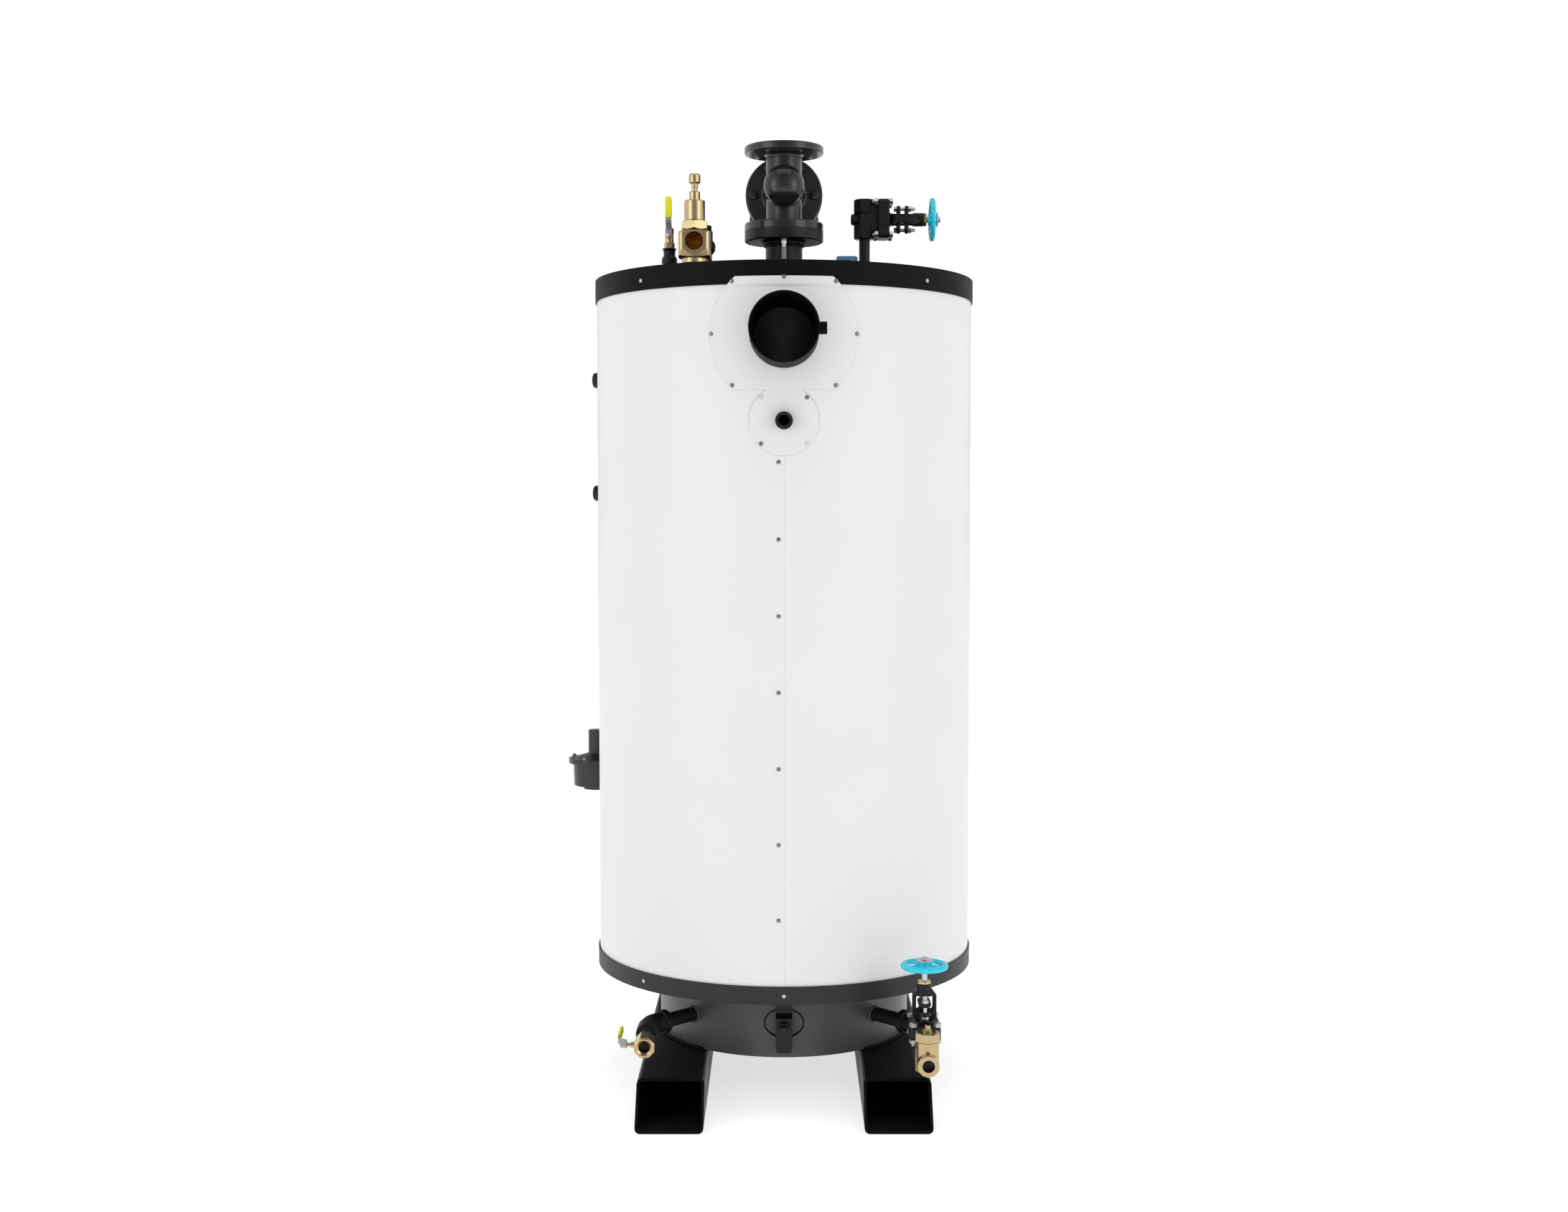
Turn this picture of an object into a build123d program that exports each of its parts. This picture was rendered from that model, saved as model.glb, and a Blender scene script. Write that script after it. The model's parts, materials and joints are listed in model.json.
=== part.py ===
from build123d import *
import math
import os

os.makedirs("parts", exist_ok=True)

# Vertical steam boiler. The origin is on the floor, under the vessel's axis, +Z is up,
# and the flue leaves towards -Y. All sizes are in millimetres.

# Fits
seat_gap = 0.3
stem_gap = 0.4
sheet_hole_gap = 3.0

# Skids: two rectangular tubes with mitred open ends
skid_gauge = 508.0
skid_width = 152.4
skid_height = 101.6
skid_wall = 6.35
skid_corner = 12.7
skid_floor_length = 1078.0
skid_mitre = 80.0
anchor_setback = 31.0
anchor_hole_radius = 8.75

# Pressure vessel
vessel_radius = 304.8
vessel_wall = 9.5
head_thickness = 16.0
bottom_head_rise = 12.0
vessel_top = 1880.0

# Jacket, bottom pan and top cover
rim_radius = 457.2
rim_sheet = 3.0
rim_play = 0.7
pan_bottom = 265.6
pan_height = 41.3
cover_rise = 42.4
cover_height = 52.8
jacket_sheet = 2.0
cover_corner = 2.7

# Flue outlet, its rolled cover plate and the sight pipe below it
flue_radius = 76.2
flue_wall = 4.5
flue_socket_wall = 3.0
flue_socket_depth = 26.0
flue_drop = 118.0
flue_reach = 154.5
plate_sheet = 1.5
plate_radius = 165.0
plate_half_height = 124.5
plate_foot_radius = 78.0
joggle_run = 5.0
test_port_radius = 13.5
test_port_bore = 8.5
test_port_reach = 16.0
test_port_setback = 40.0
sight_radius = 19.0
sight_bore = 12.0
sight_drop = 192.0
sight_reach = 20.0

# Handhole with its inside cover, yoke and stud
handhole_z = 182.5
handhole_width = 94.0
handhole_height = 71.0
handhole_gap = 2.5
handhole_lap = 9.0
handhole_cover_thickness = 14.0
yoke_width = 37.5
yoke_above = 62.0
yoke_below = 66.0
yoke_leg_depth = 24.0
yoke_ledge_top = 28.0
yoke_ledge_foot = 22.0
yoke_depth = 40.0
yoke_flat_foot = 17.0
yoke_thickness = 22.0
yoke_leg = 18.0
yoke_round = 4.0
yoke_tongue_corner = 10.5
stud_radius = 8.0
stud_proud = 14.0
stud_nut_flats = 24.0
stud_nut_height = 12.0

# Octagons stand on a flat, hexagons on the safety valve show a corner in front
octagon_turn = 22.5
hexagon_turn = 30.0

# Turned bevels on hexagons and octagons run in by this much for each unit of height
nut_slope = 2.0

# Handwheel spokes: half widths and half depths as parts of the rim's radius
spoke_root_width = 0.95
spoke_root_depth = 0.6
spoke_end_width = 0.75
spoke_end_depth = 0.55

# Finger scallops round the handwheel rims
scallop_radius = 13.0
scallop_depth = 2.0

# Pipe sizes
three_inch_radius = 44.45
three_inch_bore = 38.95
one_inch_radius = 16.7
one_inch_bore = 13.3
small_radius = 13.35
small_bore = 10.5

# Main steam gate valve on the vessel's axis
main_flange_radius = 95.25
main_bolt_circle = 152.4
main_bolt_hole_radius = 9.5
main_bolt_count = 4
riser_flange_rise = 140.0
riser_flange_thickness = 27.0
riser_hub_radius = 54.0
riser_hub_height = 8.0
riser_setback = 6.0
flange_round = 4.0
hub_round = 3.0
casting_fillet = 8.0
gate_face_to_face = 203.2
gate_flange_thickness = 19.0
gate_barrel_radius = 44.0
gate_bore = 38.1
gate_belly_radius = 49.0
gate_belly_reach = 62.0
gate_dome_height = 38.0
bonnet_face = 82.0
bonnet_flange_thickness = 19.0
bonnet_foot_radius = 58.0
bonnet_top_radius = 33.0
bonnet_cone_end = 215.0
packing_radius = 30.0
packing_end = 262.0
gate_gland_length = 96.0
gate_gland_width = 46.0
gate_gland_thickness = 12.0
gate_gland_gap = 16.0
gate_sleeve_radius = 21.0
gate_stem_radius = 11.0
gate_stem_end = 446.0
gate_wheel_y = 428.0
gate_wheel_radius = 92.0
gate_wheel_rim = 8.0
gate_wheel_hub_radius = 19.0
gate_wheel_hub_length = 30.0
gate_wheel_spokes = 5
gate_wheel_scallops = 12

# Safety valve
safety_x = -210.0
safety_y = -150.0
safety_base_rise = 72.0
safety_foot_height = 10.0
safety_foot_radius = 30.0
safety_width = 75.0
safety_corner = 12.0
safety_body_height = 65.0
safety_bevel = 6.0
safety_bevel_inset = 4.0
safety_outlet_rise = 48.0
safety_outlet_bore = 21.5
safety_outlet_depth = 42.0
safety_face_radius = 31.0
safety_face_bevel = 8.0
safety_hex_flats = 58.0
safety_hex_height = 25.0
safety_hex_bevel = 5.0
safety_bonnet_radius = 24.25
safety_bonnet_height = 46.0
safety_neck_radius = 13.0
safety_neck_height = 21.0
safety_edge_round = 2.5
safety_screw_radius = 6.8
safety_screw_length = 8.5
safety_collar_radius = 7.9
safety_collar_length = 9.5
safety_knob_radius = 13.8
safety_knob_height = 23.0
safety_knob_round = 4.5
safety_slot = 3.0

# Vent cock beside the safety valve
vent_x = -275.0
vent_y = -60.0
vent_collar_radius = 17.0
vent_neck_radius = 14.0
vent_shoulder_radius = 18.5
vent_fitting_rise = 118.0
vent_foot_flats = 22.0
vent_foot_height = 14.0
vent_barrel_radius = 10.4
vent_head_flats = 18.0
vent_head_start = 34.0
vent_body_height = 49.0
vent_bevel = 1.6
vent_bore = 6.0
vent_bore_depth = 14.0
vent_stem_rise = 30.0
vent_stem_radius = 4.0
vent_stem_reach = 16.0
vent_lever_length = 89.0
vent_grip_start = 38.0

# Control tapping: a black elbow between the safety valve and the main valve
tapping_x = -182.0
tapping_y = -88.0
tapping_rise = 119.0
tapping_stem_radius = 10.3
tapping_ball_radius = 18.5
tapping_neck_radius = 12.0
tapping_neck_top = 36.0
tapping_plug_flats = 16.0
tapping_plug_top = 50.0
tapping_bevel = 1.2
tapping_arm_radius = 13.0
tapping_arm_length = 34.0
tapping_band_radius = 17.0
tapping_band_length = 10.0

# Lifting lug
lug_x = 153.0
lug_width = 52.0
lug_thickness = 12.0
lug_rise = 108.0
lug_hole_radius = 14.0
lug_hole_cover = 9.0
lug_corner = 6.0

# Forged globe valves, one on the top and one in the feed line; heights are along the stem
forged_face_to_face = 97.0
forged_end_radius = 26.0
forged_end_length = 32.0
forged_end_bevel = 3.0
forged_end_inset = 2.0
forged_waist_radius = 22.0
forged_waist_slope = 4.0
forged_bore = 13.3
forged_bore_depth = 24.0
forged_boss_radius = 14.0
forged_boss_reach = 34.0
forged_boss_round = 5.0
forged_neck_length = 67.0
forged_neck_width = 44.0
forged_flange_length = 96.0
forged_flange_width = 68.0
forged_flange_corner = 9.0
forged_flange_bevel = 3.0
forged_bevel_angle = 45.0
forged_flange_low = 32.0
forged_flange_split = 46.0
forged_flange_top = 60.5
forged_box_radius = 15.0
forged_box_flare = 9.0
forged_lug_low = 79.5
forged_lug_thickness = 9.0
forged_gland_low = 99.5
forged_gland_length = 69.0
forged_gland_width = 28.0
forged_ear_round = 3.5
forged_sleeve_radius = 10.0
yoke_arm_span = 53.0
yoke_arm_thickness = 8.0
yoke_arm_depth = 22.0
yoke_shoulder = 12.0
yoke_window_low = 74.0
yoke_window_high = 122.0
yoke_window_corner = 6.0
yoke_arm_bevel = 1.5
yoke_hub_low = 120.0
yoke_hub_radius = 16.5
yoke_hub_top = 147.0
bushing_flats = 28.0
bushing_height = 6.0
bushing_bevel = 1.4
forged_stem_radius = 6.5
forged_stem_low = 52.0
forged_wheel_height = 168.0
forged_wheel_radius = 53.0
forged_wheel_rim = 6.0
forged_wheel_hub_radius = 13.0
forged_wheel_hub_length = 22.0
forged_wheel_spokes = 5
forged_wheel_scallops = 10
forged_tail_radius = 4.5
forged_tail_length = 4.0
forged_lift = 18.0

# Auxiliary steam valve on the top
aux_x = 200.0
aux_y = 100.0
aux_rise = 211.0

# Drain and feed lines, which leave the vessel at 45 degrees and turn towards -Y
line_z = 180.0
line_reach = 134.6
elbow_leg = 50.0
elbow_radius = 23.0
elbow_band_radius = 27.0
elbow_band_length = 18.0
elbow_band_round = 3.0
elbow_bend = 40.0
coupling_length = 31.0

# Drain ball valve
drain_run = 51.3
drain_valve_length = 54.5
drain_flats = 45.0
drain_bevel = 2.5
drain_bore = 12.8
drain_bore_depth = 26.0
drain_mouth_radius = 17.5
drain_mouth_depth = 4.0
drain_boss_radius = 6.5
drain_boss_reach = 31.0
drain_stem_radius = 4.25
drain_stem_reach = 41.0
drain_lever_length = 127.0
drain_grip_start = 50.0

# Levers of both ball valves
lever_width = 14.0
lever_sheet = 2.5
lever_heel = 9.0
lever_crank_start = 14.0
lever_crank_run = 18.0
lever_crank_rise = 20.0
lever_bend = 6.0
grip_width = 16.0
grip_thickness = 7.0
grip_overhang = 3.0
grip_round = 2.0

# Check valve at the feed inlet
check_length = 86.5
check_run_radius = 23.5
check_bore = 13.5
check_bore_depth = 26.0
check_chamber_radius = 26.0
check_chamber_floor = 20.0
check_seam = 44.0
check_cap_flats = 52.0
check_cap_height = 20.0
check_cap_bevel = 2.0
check_mouth_bevel = 1.5
check_plug_foot_flats = 16.0
check_plug_foot_height = 6.0
check_plug_flats = 11.5
check_plug_height = 8.5
check_plug_bevel = 0.8

# Feed valve, set out from the rim so that its handwheel clears the jacket
feed_clearance = 42.8

# Level-gauge tappings on the side, plugged
plug_radius = 19.0
plug_reach = 22.0
plug_dome = 8.0
plug_bearing = 97.0
plug_heights = (1691.0, 1413.0)

# Gas pressure regulator on its nipple
regulator_bearing = 116.3
regulator_standoff = 88.5
regulator_inlet_z = 684.0
regulator_body_radius = 61.4
regulator_body_low = 658.0
regulator_body_top = 716.0
regulator_body_draft = 2.0
regulator_round = 3.0
regulator_port_flats = 50.0
regulator_port_reach = 68.0
regulator_foot_radius = 35.5
regulator_foot_height = 9.0
regulator_inlet_bore = 16.6
regulator_inlet_depth = 24.0
casing_radius = 73.0
casing_edge = 7.0
casing_dome = 12.0
casing_dome_radius = 62.0
tower_radius = 22.0
tower_foot_fillet = 6.0
tower_top = 802.0

# Places worked out from the sizes above
cover_top = vessel_top + cover_rise
flue_z = vessel_top - flue_drop
sight_z = flue_z - sight_drop
riser_flange_bottom = vessel_top + riser_flange_rise
safety_base_z = vessel_top + safety_base_rise
safety_foot_top = safety_base_z + safety_foot_height
safety_body_top = safety_foot_top + safety_body_height
safety_hex_top = safety_body_top + safety_hex_height
safety_bonnet_top = safety_hex_top + safety_bonnet_height
safety_neck_top = safety_bonnet_top + safety_neck_height
safety_outlet_z = safety_base_z + safety_outlet_rise
vent_fitting_top = vessel_top + vent_fitting_rise
tapping_z = vessel_top + tapping_rise
lug_top = vessel_top + lug_rise
aux_z = vessel_top + aux_rise
skid_roof_length = skid_floor_length - 2 * skid_mitre
anchor_pitch = skid_floor_length - 2 * anchor_setback
jacket_radius = rim_radius - rim_sheet - rim_play
flue_end = jacket_radius + flue_reach
regulator_distance = jacket_radius + regulator_standoff
cover_bottom = cover_top - cover_height
vessel_bottom = skid_height
main_valve_bottom = riser_flange_bottom + riser_flange_thickness
main_valve_z = main_valve_bottom + gate_face_to_face / 2
line_bend_radius = vessel_radius + line_reach
line_bend = line_bend_radius * math.sqrt(0.5)
line_mouth = line_bend + elbow_leg
drain_valve_rear = line_mouth + coupling_length + drain_run
feed_valve_y = rim_radius + feed_clearance
check_rear = feed_valve_y + forged_face_to_face / 2
check_end = check_rear + check_length
up = (0, 0, 1)


def keep(part, label):
    part.label = label
    export_step(part, f"parts/{label}.step")


def bearing_direction(bearing):
    # Compass bearing round the vessel, from -Y (the flue side) towards -X
    angle = math.radians(bearing)
    return Vector(-math.sin(angle), -math.cos(angle), 0)


def turned_prism(seat, sides, flats, height, bevel, turn=0):
    # Hexagon or octagon with its corners turned to a cone at both ends, as on a machined nut
    corner = flats / 2 / math.cos(math.pi / sides) + seat_gap
    face = corner - nut_slope * bevel
    with BuildPart() as prism:
        with BuildSketch(seat):
            RegularPolygon(flats / 2, sides, major_radius=False, rotation=turn)
        extrude(amount=height)
        with BuildSketch(Plane(seat.origin, x_dir=seat.x_dir, z_dir=-seat.y_dir)):
            with BuildLine():
                Polyline(
                    (0, 0),
                    (face, 0),
                    (corner, bevel),
                    (corner, height - bevel),
                    (face, height),
                    (0, height),
                    close=True,
                )
            make_face()
        revolve(axis=Axis(seat.origin, seat.z_dir), mode=Mode.INTERSECT)
    return prism.part


def build_skid(side, label):
    centre = side * skid_gauge / 2
    with BuildPart() as skid:
        with BuildSketch(Plane.XZ):
            with Locations((centre, skid_height / 2)):
                RectangleRounded(skid_width, skid_height, skid_corner)
                RectangleRounded(
                    skid_width - 2 * skid_wall,
                    skid_height - 2 * skid_wall,
                    skid_corner - skid_wall,
                    mode=Mode.SUBTRACT,
                )
        extrude(amount=skid_floor_length / 2, both=True)
        # The mitre leaves the floor longer than the roof, as a foot for the anchor bolt
        for end in (-1, 1):
            with BuildSketch(Plane.YZ.offset(centre)):
                with BuildLine():
                    Polyline(
                        (end * skid_roof_length / 2, skid_height),
                        (end * skid_floor_length / 2, skid_wall),
                        (end * skid_floor_length / 2, skid_height),
                        close=True,
                    )
                make_face()
            extrude(amount=skid_width, both=True, mode=Mode.SUBTRACT)
        with Locations(
            (centre, -anchor_pitch / 2, skid_wall),
            (centre, anchor_pitch / 2, skid_wall),
        ):
            Hole(anchor_hole_radius, depth=skid_wall)
    keep(skid.part, label)


def build_pipe(start, length, radius, bore, label, shell=None):
    # Straight pipe from a plane along its normal; shell trims the root to a round vessel
    with BuildPart() as pipe:
        with BuildSketch(start):
            Circle(radius)
            Circle(bore, mode=Mode.SUBTRACT)
        extrude(amount=length)
        if shell:
            Cylinder(shell + seat_gap, 2 * cover_top, mode=Mode.SUBTRACT)
    keep(pipe.part, label)


def build_line(side, end, name):
    # Pipe out of the vessel, a 45-degree elbow, and a nipple on towards -Y
    corner = Vector(side * line_bend, -line_bend, line_z)
    inward = Vector(-side, 1, 0).normalized()
    outward = Vector(0, -1, 0)
    inner_mouth = Plane(corner + inward * elbow_leg, x_dir=up, z_dir=-inward)
    outer_mouth = Plane(corner + outward * elbow_leg, x_dir=up, z_dir=-outward)
    with BuildPart() as pipes:
        with BuildSketch(inner_mouth):
            Circle(one_inch_radius)
            Circle(one_inch_bore, mode=Mode.SUBTRACT)
        extrude(amount=elbow_leg - line_bend_radius)
        Cylinder(vessel_radius + seat_gap, 2 * pan_bottom, mode=Mode.SUBTRACT)
        with BuildSketch(outer_mouth):
            Circle(one_inch_radius)
            Circle(one_inch_bore, mode=Mode.SUBTRACT)
        extrude(amount=line_mouth - end)
    keep(pipes.part, f"{name}_pipes")

    with BuildPart() as elbow:
        with BuildLine():
            route = FilletPolyline(inner_mouth.origin, corner, outer_mouth.origin, radius=elbow_bend)
        with BuildSketch(inner_mouth):
            Circle(elbow_radius)
        sweep(path=route)
        for mouth in (inner_mouth, outer_mouth):
            with BuildSketch(mouth):
                Circle(elbow_band_radius)
            extrude(amount=elbow_band_length)
        circles = elbow.edges().filter_by(GeomType.CIRCLE)
        rings = circles.filter_by(lambda ring: abs(ring.radius - elbow_band_radius) < seat_gap)
        fillet(rings, elbow_band_round)
        with BuildSketch(inner_mouth):
            Circle(one_inch_bore)
        sweep(path=route, mode=Mode.SUBTRACT)
    keep(elbow.part, f"{name}_elbow")


def build_handwheel(hub, radius, rim, hub_radius, hub_length, bore, spokes, scallops, label):
    # Scalloped rim, spokes and hub; the hub's plane faces away from the valve
    dish = hub_length / 2
    with BuildPart() as wheel:
        with BuildSketch(Plane(hub.origin, x_dir=hub.x_dir, z_dir=-hub.y_dir)):
            with Locations((radius - rim, 0)):
                Circle(rim)
        revolve(axis=Axis(hub.origin, hub.z_dir))
        with BuildSketch(hub):
            with PolarLocations(radius + scallop_radius - scallop_depth, scallops):
                Circle(scallop_radius)
        extrude(amount=2 * rim, both=True, mode=Mode.SUBTRACT)
        with BuildSketch(hub.offset(-dish)):
            Circle(hub_radius)
        extrude(amount=hub_length)
        for turn in range(spokes):
            angle = math.radians(turn * 360 / spokes)
            outward = hub.x_dir * math.cos(angle) + hub.y_dir * math.sin(angle)
            across = Plane(hub.origin, x_dir=outward.cross(hub.z_dir), z_dir=outward)
            with BuildSketch(across.offset((bore + hub_radius) / 2)):
                Ellipse(rim * spoke_root_width, rim * spoke_root_depth)
            with BuildSketch(across.offset(radius - rim)):
                Ellipse(rim * spoke_end_width, rim * spoke_end_depth)
            loft()
        with BuildSketch(hub.offset(-dish)):
            Circle(bore)
        extrude(amount=hub_length, mode=Mode.SUBTRACT)
    keep(wheel.part, label)


def build_forged_valve(seat, lifted, name):
    # Globe valve: seat has its x along the flow and its normal along the stem
    flow = Plane(seat.origin, x_dir=seat.y_dir, z_dir=seat.x_dir)
    upright = Plane(seat.origin, x_dir=seat.x_dir, z_dir=-seat.y_dir)
    stem_axis = Axis(seat.origin, seat.z_dir)
    lug_top = forged_lug_low + forged_lug_thickness
    gland_top = forged_gland_low + forged_lug_thickness

    with BuildPart() as body:
        half = forged_face_to_face / 2
        waist = half - forged_end_length
        corner = forged_end_radius / math.cos(math.radians(octagon_turn)) + seat_gap
        with BuildSketch(flow.offset(-half)):
            RegularPolygon(forged_end_radius, 8, major_radius=False, rotation=octagon_turn)
        extrude(amount=forged_face_to_face)
        # One turned form bevels both octagon ends and necks the waist between them
        with BuildSketch(seat):
            with BuildLine():
                Polyline(
                    (-half, 0),
                    (-half, forged_end_radius - forged_end_inset),
                    (forged_end_bevel - half, corner),
                    (-waist, corner),
                    (forged_waist_slope - waist, forged_waist_radius),
                    (waist - forged_waist_slope, forged_waist_radius),
                    (waist, corner),
                    (half - forged_end_bevel, corner),
                    (half, forged_end_radius - forged_end_inset),
                    (half, 0),
                    close=True,
                )
            make_face()
        revolve(axis=Axis(seat.origin, seat.x_dir), mode=Mode.INTERSECT)
        with BuildSketch(seat.offset(-forged_boss_reach)):
            Circle(forged_boss_radius)
        extrude(amount=forged_boss_reach)
        fillet(body.faces().sort_by(stem_axis)[0].edges(), forged_boss_round)
        with BuildSketch(seat):
            RectangleRounded(forged_neck_length, forged_neck_width, forged_flange_corner)
        extrude(amount=forged_flange_low)
        bevel_top = forged_flange_low + forged_flange_bevel
        with BuildSketch(seat.offset(bevel_top)):
            RectangleRounded(forged_flange_length, forged_flange_width, forged_flange_corner)
        extrude(amount=forged_flange_split - bevel_top)
        with BuildSketch(seat.offset(bevel_top)):
            RectangleRounded(forged_flange_length, forged_flange_width, forged_flange_corner)
        extrude(amount=-forged_flange_bevel, taper=forged_bevel_angle)
        for end in (-half, half - forged_bore_depth):
            with BuildSketch(flow.offset(end)):
                Circle(forged_bore)
            extrude(amount=forged_bore_depth, mode=Mode.SUBTRACT)
    keep(body.part, f"{name}_valve_body")

    # Open yoke: a frame across the flow, with chamfered shoulders and a rounded window
    with BuildPart() as frame:
        with BuildSketch(flow.offset(-yoke_arm_depth / 2)):
            high = yoke_hub_top - yoke_shoulder
            span = yoke_arm_span / 2
            with BuildLine():
                Polyline(
                    (-forged_box_radius, forged_flange_top),
                    (forged_box_radius, forged_flange_top),
                    (span, yoke_window_low),
                    (span, yoke_window_high),
                    (yoke_hub_radius, high),
                    (-yoke_hub_radius, high),
                    (-span, yoke_window_high),
                    (-span, yoke_window_low),
                    close=True,
                )
            make_face()
            with Locations((0, (lug_top + yoke_window_high) / 2)):
                RectangleRounded(
                    yoke_arm_span - 2 * yoke_arm_thickness,
                    yoke_window_high - lug_top,
                    yoke_window_corner,
                    mode=Mode.SUBTRACT,
                )
        extrude(amount=yoke_arm_depth)
        cheeks = frame.faces().sort_by(Axis(seat.origin, seat.x_dir))
        chamfer(cheeks[0].edges() + cheeks[-1].edges(), yoke_arm_bevel)

    with BuildPart() as bonnet:
        # Ears under the gland, rounded all round
        with BuildSketch(seat.offset(forged_lug_low)):
            SlotOverall(forged_gland_length, forged_gland_width)
        extrude(amount=forged_lug_thickness)
        ears = bonnet.faces().sort_by(stem_axis)
        fillet(ears[0].edges() + ears[-1].edges(), forged_ear_round)
        bevel_low = forged_flange_top - forged_flange_bevel
        with BuildSketch(seat.offset(forged_flange_split)):
            RectangleRounded(forged_flange_length, forged_flange_width, forged_flange_corner)
        extrude(amount=bevel_low - forged_flange_split)
        with BuildSketch(seat.offset(bevel_low)):
            RectangleRounded(forged_flange_length, forged_flange_width, forged_flange_corner)
        extrude(amount=forged_flange_bevel, taper=forged_bevel_angle)
        # Packing chamber, flared out to the flange
        with BuildSketch(upright):
            with BuildLine():
                flare_radius = forged_box_radius + forged_box_flare
                flare_top = forged_flange_top + forged_box_flare
                CenterArc((flare_radius, flare_top), forged_box_flare, 180, 90)
                Polyline(
                    (flare_radius, forged_flange_top),
                    (0, forged_flange_top),
                    (0, lug_top),
                    (forged_box_radius, lug_top),
                    (forged_box_radius, flare_top),
                )
            make_face()
        revolve(axis=stem_axis)
        add(frame.part)
        with BuildSketch(upright):
            with BuildLine():
                Polyline(
                    (0, yoke_hub_low),
                    (yoke_hub_radius, yoke_hub_low),
                    (yoke_hub_radius, yoke_hub_top - yoke_arm_bevel),
                    (yoke_hub_radius - yoke_arm_bevel, yoke_hub_top),
                    (0, yoke_hub_top),
                    close=True,
                )
            make_face()
        revolve(axis=stem_axis)
        with BuildSketch(seat.offset(forged_stem_low - stem_gap)):
            Circle(forged_stem_radius + stem_gap)
        extrude(amount=yoke_hub_top, mode=Mode.SUBTRACT)
    keep(bonnet.part, f"{name}_valve_bonnet")

    with BuildPart() as gland:
        with BuildSketch(seat.offset(forged_gland_low)):
            SlotOverall(forged_gland_length, forged_gland_width)
        extrude(amount=forged_lug_thickness)
        ears = gland.faces().sort_by(stem_axis)
        fillet(ears[0].edges() + ears[-1].edges(), forged_ear_round)
        with BuildSketch(seat.offset(lug_top + seat_gap)):
            Circle(forged_sleeve_radius)
        extrude(amount=forged_gland_low - lug_top)
        with BuildSketch(seat.offset(lug_top)):
            Circle(forged_stem_radius + stem_gap)
        extrude(amount=gland_top - lug_top, mode=Mode.SUBTRACT)
    keep(gland.part, f"{name}_valve_gland")

    nut = turned_prism(seat.offset(yoke_hub_top), 6, bushing_flats, bushing_height, bushing_bevel)
    with BuildPart() as bushing:
        add(nut)
        with BuildSketch(seat.offset(yoke_hub_top)):
            Circle(forged_stem_radius + stem_gap)
        extrude(amount=bushing_height, mode=Mode.SUBTRACT)
    keep(bushing.part, f"{name}_valve_bushing")

    wheel_height = forged_wheel_height + lifted
    wheel_foot = wheel_height - forged_wheel_hub_length / 2
    with BuildPart() as stem:
        with BuildSketch(seat.offset(forged_stem_low + lifted)):
            Circle(forged_stem_radius)
        extrude(amount=wheel_foot - forged_stem_low - lifted)
        with BuildSketch(seat.offset(wheel_foot)):
            Circle(forged_tail_radius)
        extrude(amount=forged_wheel_hub_length + forged_tail_length)
    keep(stem.part, f"{name}_valve_stem")

    build_handwheel(
        seat.offset(wheel_height),
        forged_wheel_radius,
        forged_wheel_rim,
        forged_wheel_hub_radius,
        forged_wheel_hub_length,
        forged_tail_radius + stem_gap,
        forged_wheel_spokes,
        forged_wheel_scallops,
        f"{name}_handwheel",
    )


def build_lever(pivot, length, grip_start, stem_radius, name):
    # Pressed-steel lever: the pivot's normal is the stem, its x points along the lever
    side = Plane(pivot.origin, x_dir=pivot.x_dir, z_dir=-pivot.y_dir)
    crank_end = lever_crank_start + lever_crank_run
    lever_end = length - grip_overhang
    with BuildPart() as lever:
        with BuildSketch(side.offset(-lever_width / 2)):
            middle = lever_sheet / 2
            with BuildLine():
                FilletPolyline(
                    (-lever_heel, middle),
                    (lever_crank_start, middle),
                    (crank_end, lever_crank_rise + middle),
                    (lever_end, lever_crank_rise + middle),
                    radius=lever_bend,
                )
            trace(line_width=lever_sheet)
        extrude(amount=lever_width)
        with BuildSketch(pivot):
            with Locations(((lever_end - lever_heel) / 2, 0)):
                SlotOverall(lever_end + lever_heel, lever_width)
        extrude(amount=2 * lever_crank_rise, mode=Mode.INTERSECT)
        with BuildSketch(pivot):
            Circle(stem_radius + stem_gap)
        extrude(amount=lever_sheet, mode=Mode.SUBTRACT)
    keep(lever.part, f"{name}_lever")

    grip_low = lever_crank_rise + (lever_sheet - grip_thickness) / 2
    grip_length = length - grip_start
    with BuildPart() as grip:
        with BuildSketch(pivot.offset(grip_low)):
            with Locations((grip_start + grip_length / 2, 0)):
                SlotOverall(grip_length, grip_width)
        extrude(amount=grip_thickness)
        flats = grip.faces().sort_by(Axis(pivot.origin, pivot.z_dir))
        fillet(flats[0].edges() + flats[-1].edges(), grip_round)
        # The dipped grip closes round the end of the lever
        with BuildSketch(pivot.offset(lever_crank_rise - seat_gap)):
            inside = lever_end + seat_gap - grip_start + lever_width
            with Locations((lever_end + seat_gap - inside / 2, 0)):
                SlotOverall(inside, lever_width + 2 * seat_gap)
        extrude(amount=lever_sheet + 2 * seat_gap, mode=Mode.SUBTRACT)
    keep(grip.part, f"{name}_grip")


# Skids
build_skid(-1, "skid_left")
build_skid(1, "skid_right")

# Pressure vessel: shell with the handhole cut through its wall, and two flat heads
with BuildPart() as vessel_shell:
    with BuildSketch(Plane.XY.offset(vessel_bottom)):
        Circle(vessel_radius)
        Circle(vessel_radius - vessel_wall, mode=Mode.SUBTRACT)
    extrude(amount=vessel_top - head_thickness - vessel_bottom)
    with BuildSketch(Plane.XZ):
        with Locations((0, handhole_z)):
            Ellipse(handhole_width / 2, handhole_height / 2)
    extrude(amount=2 * vessel_radius, mode=Mode.SUBTRACT)
keep(vessel_shell.part, "vessel_shell")

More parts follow.
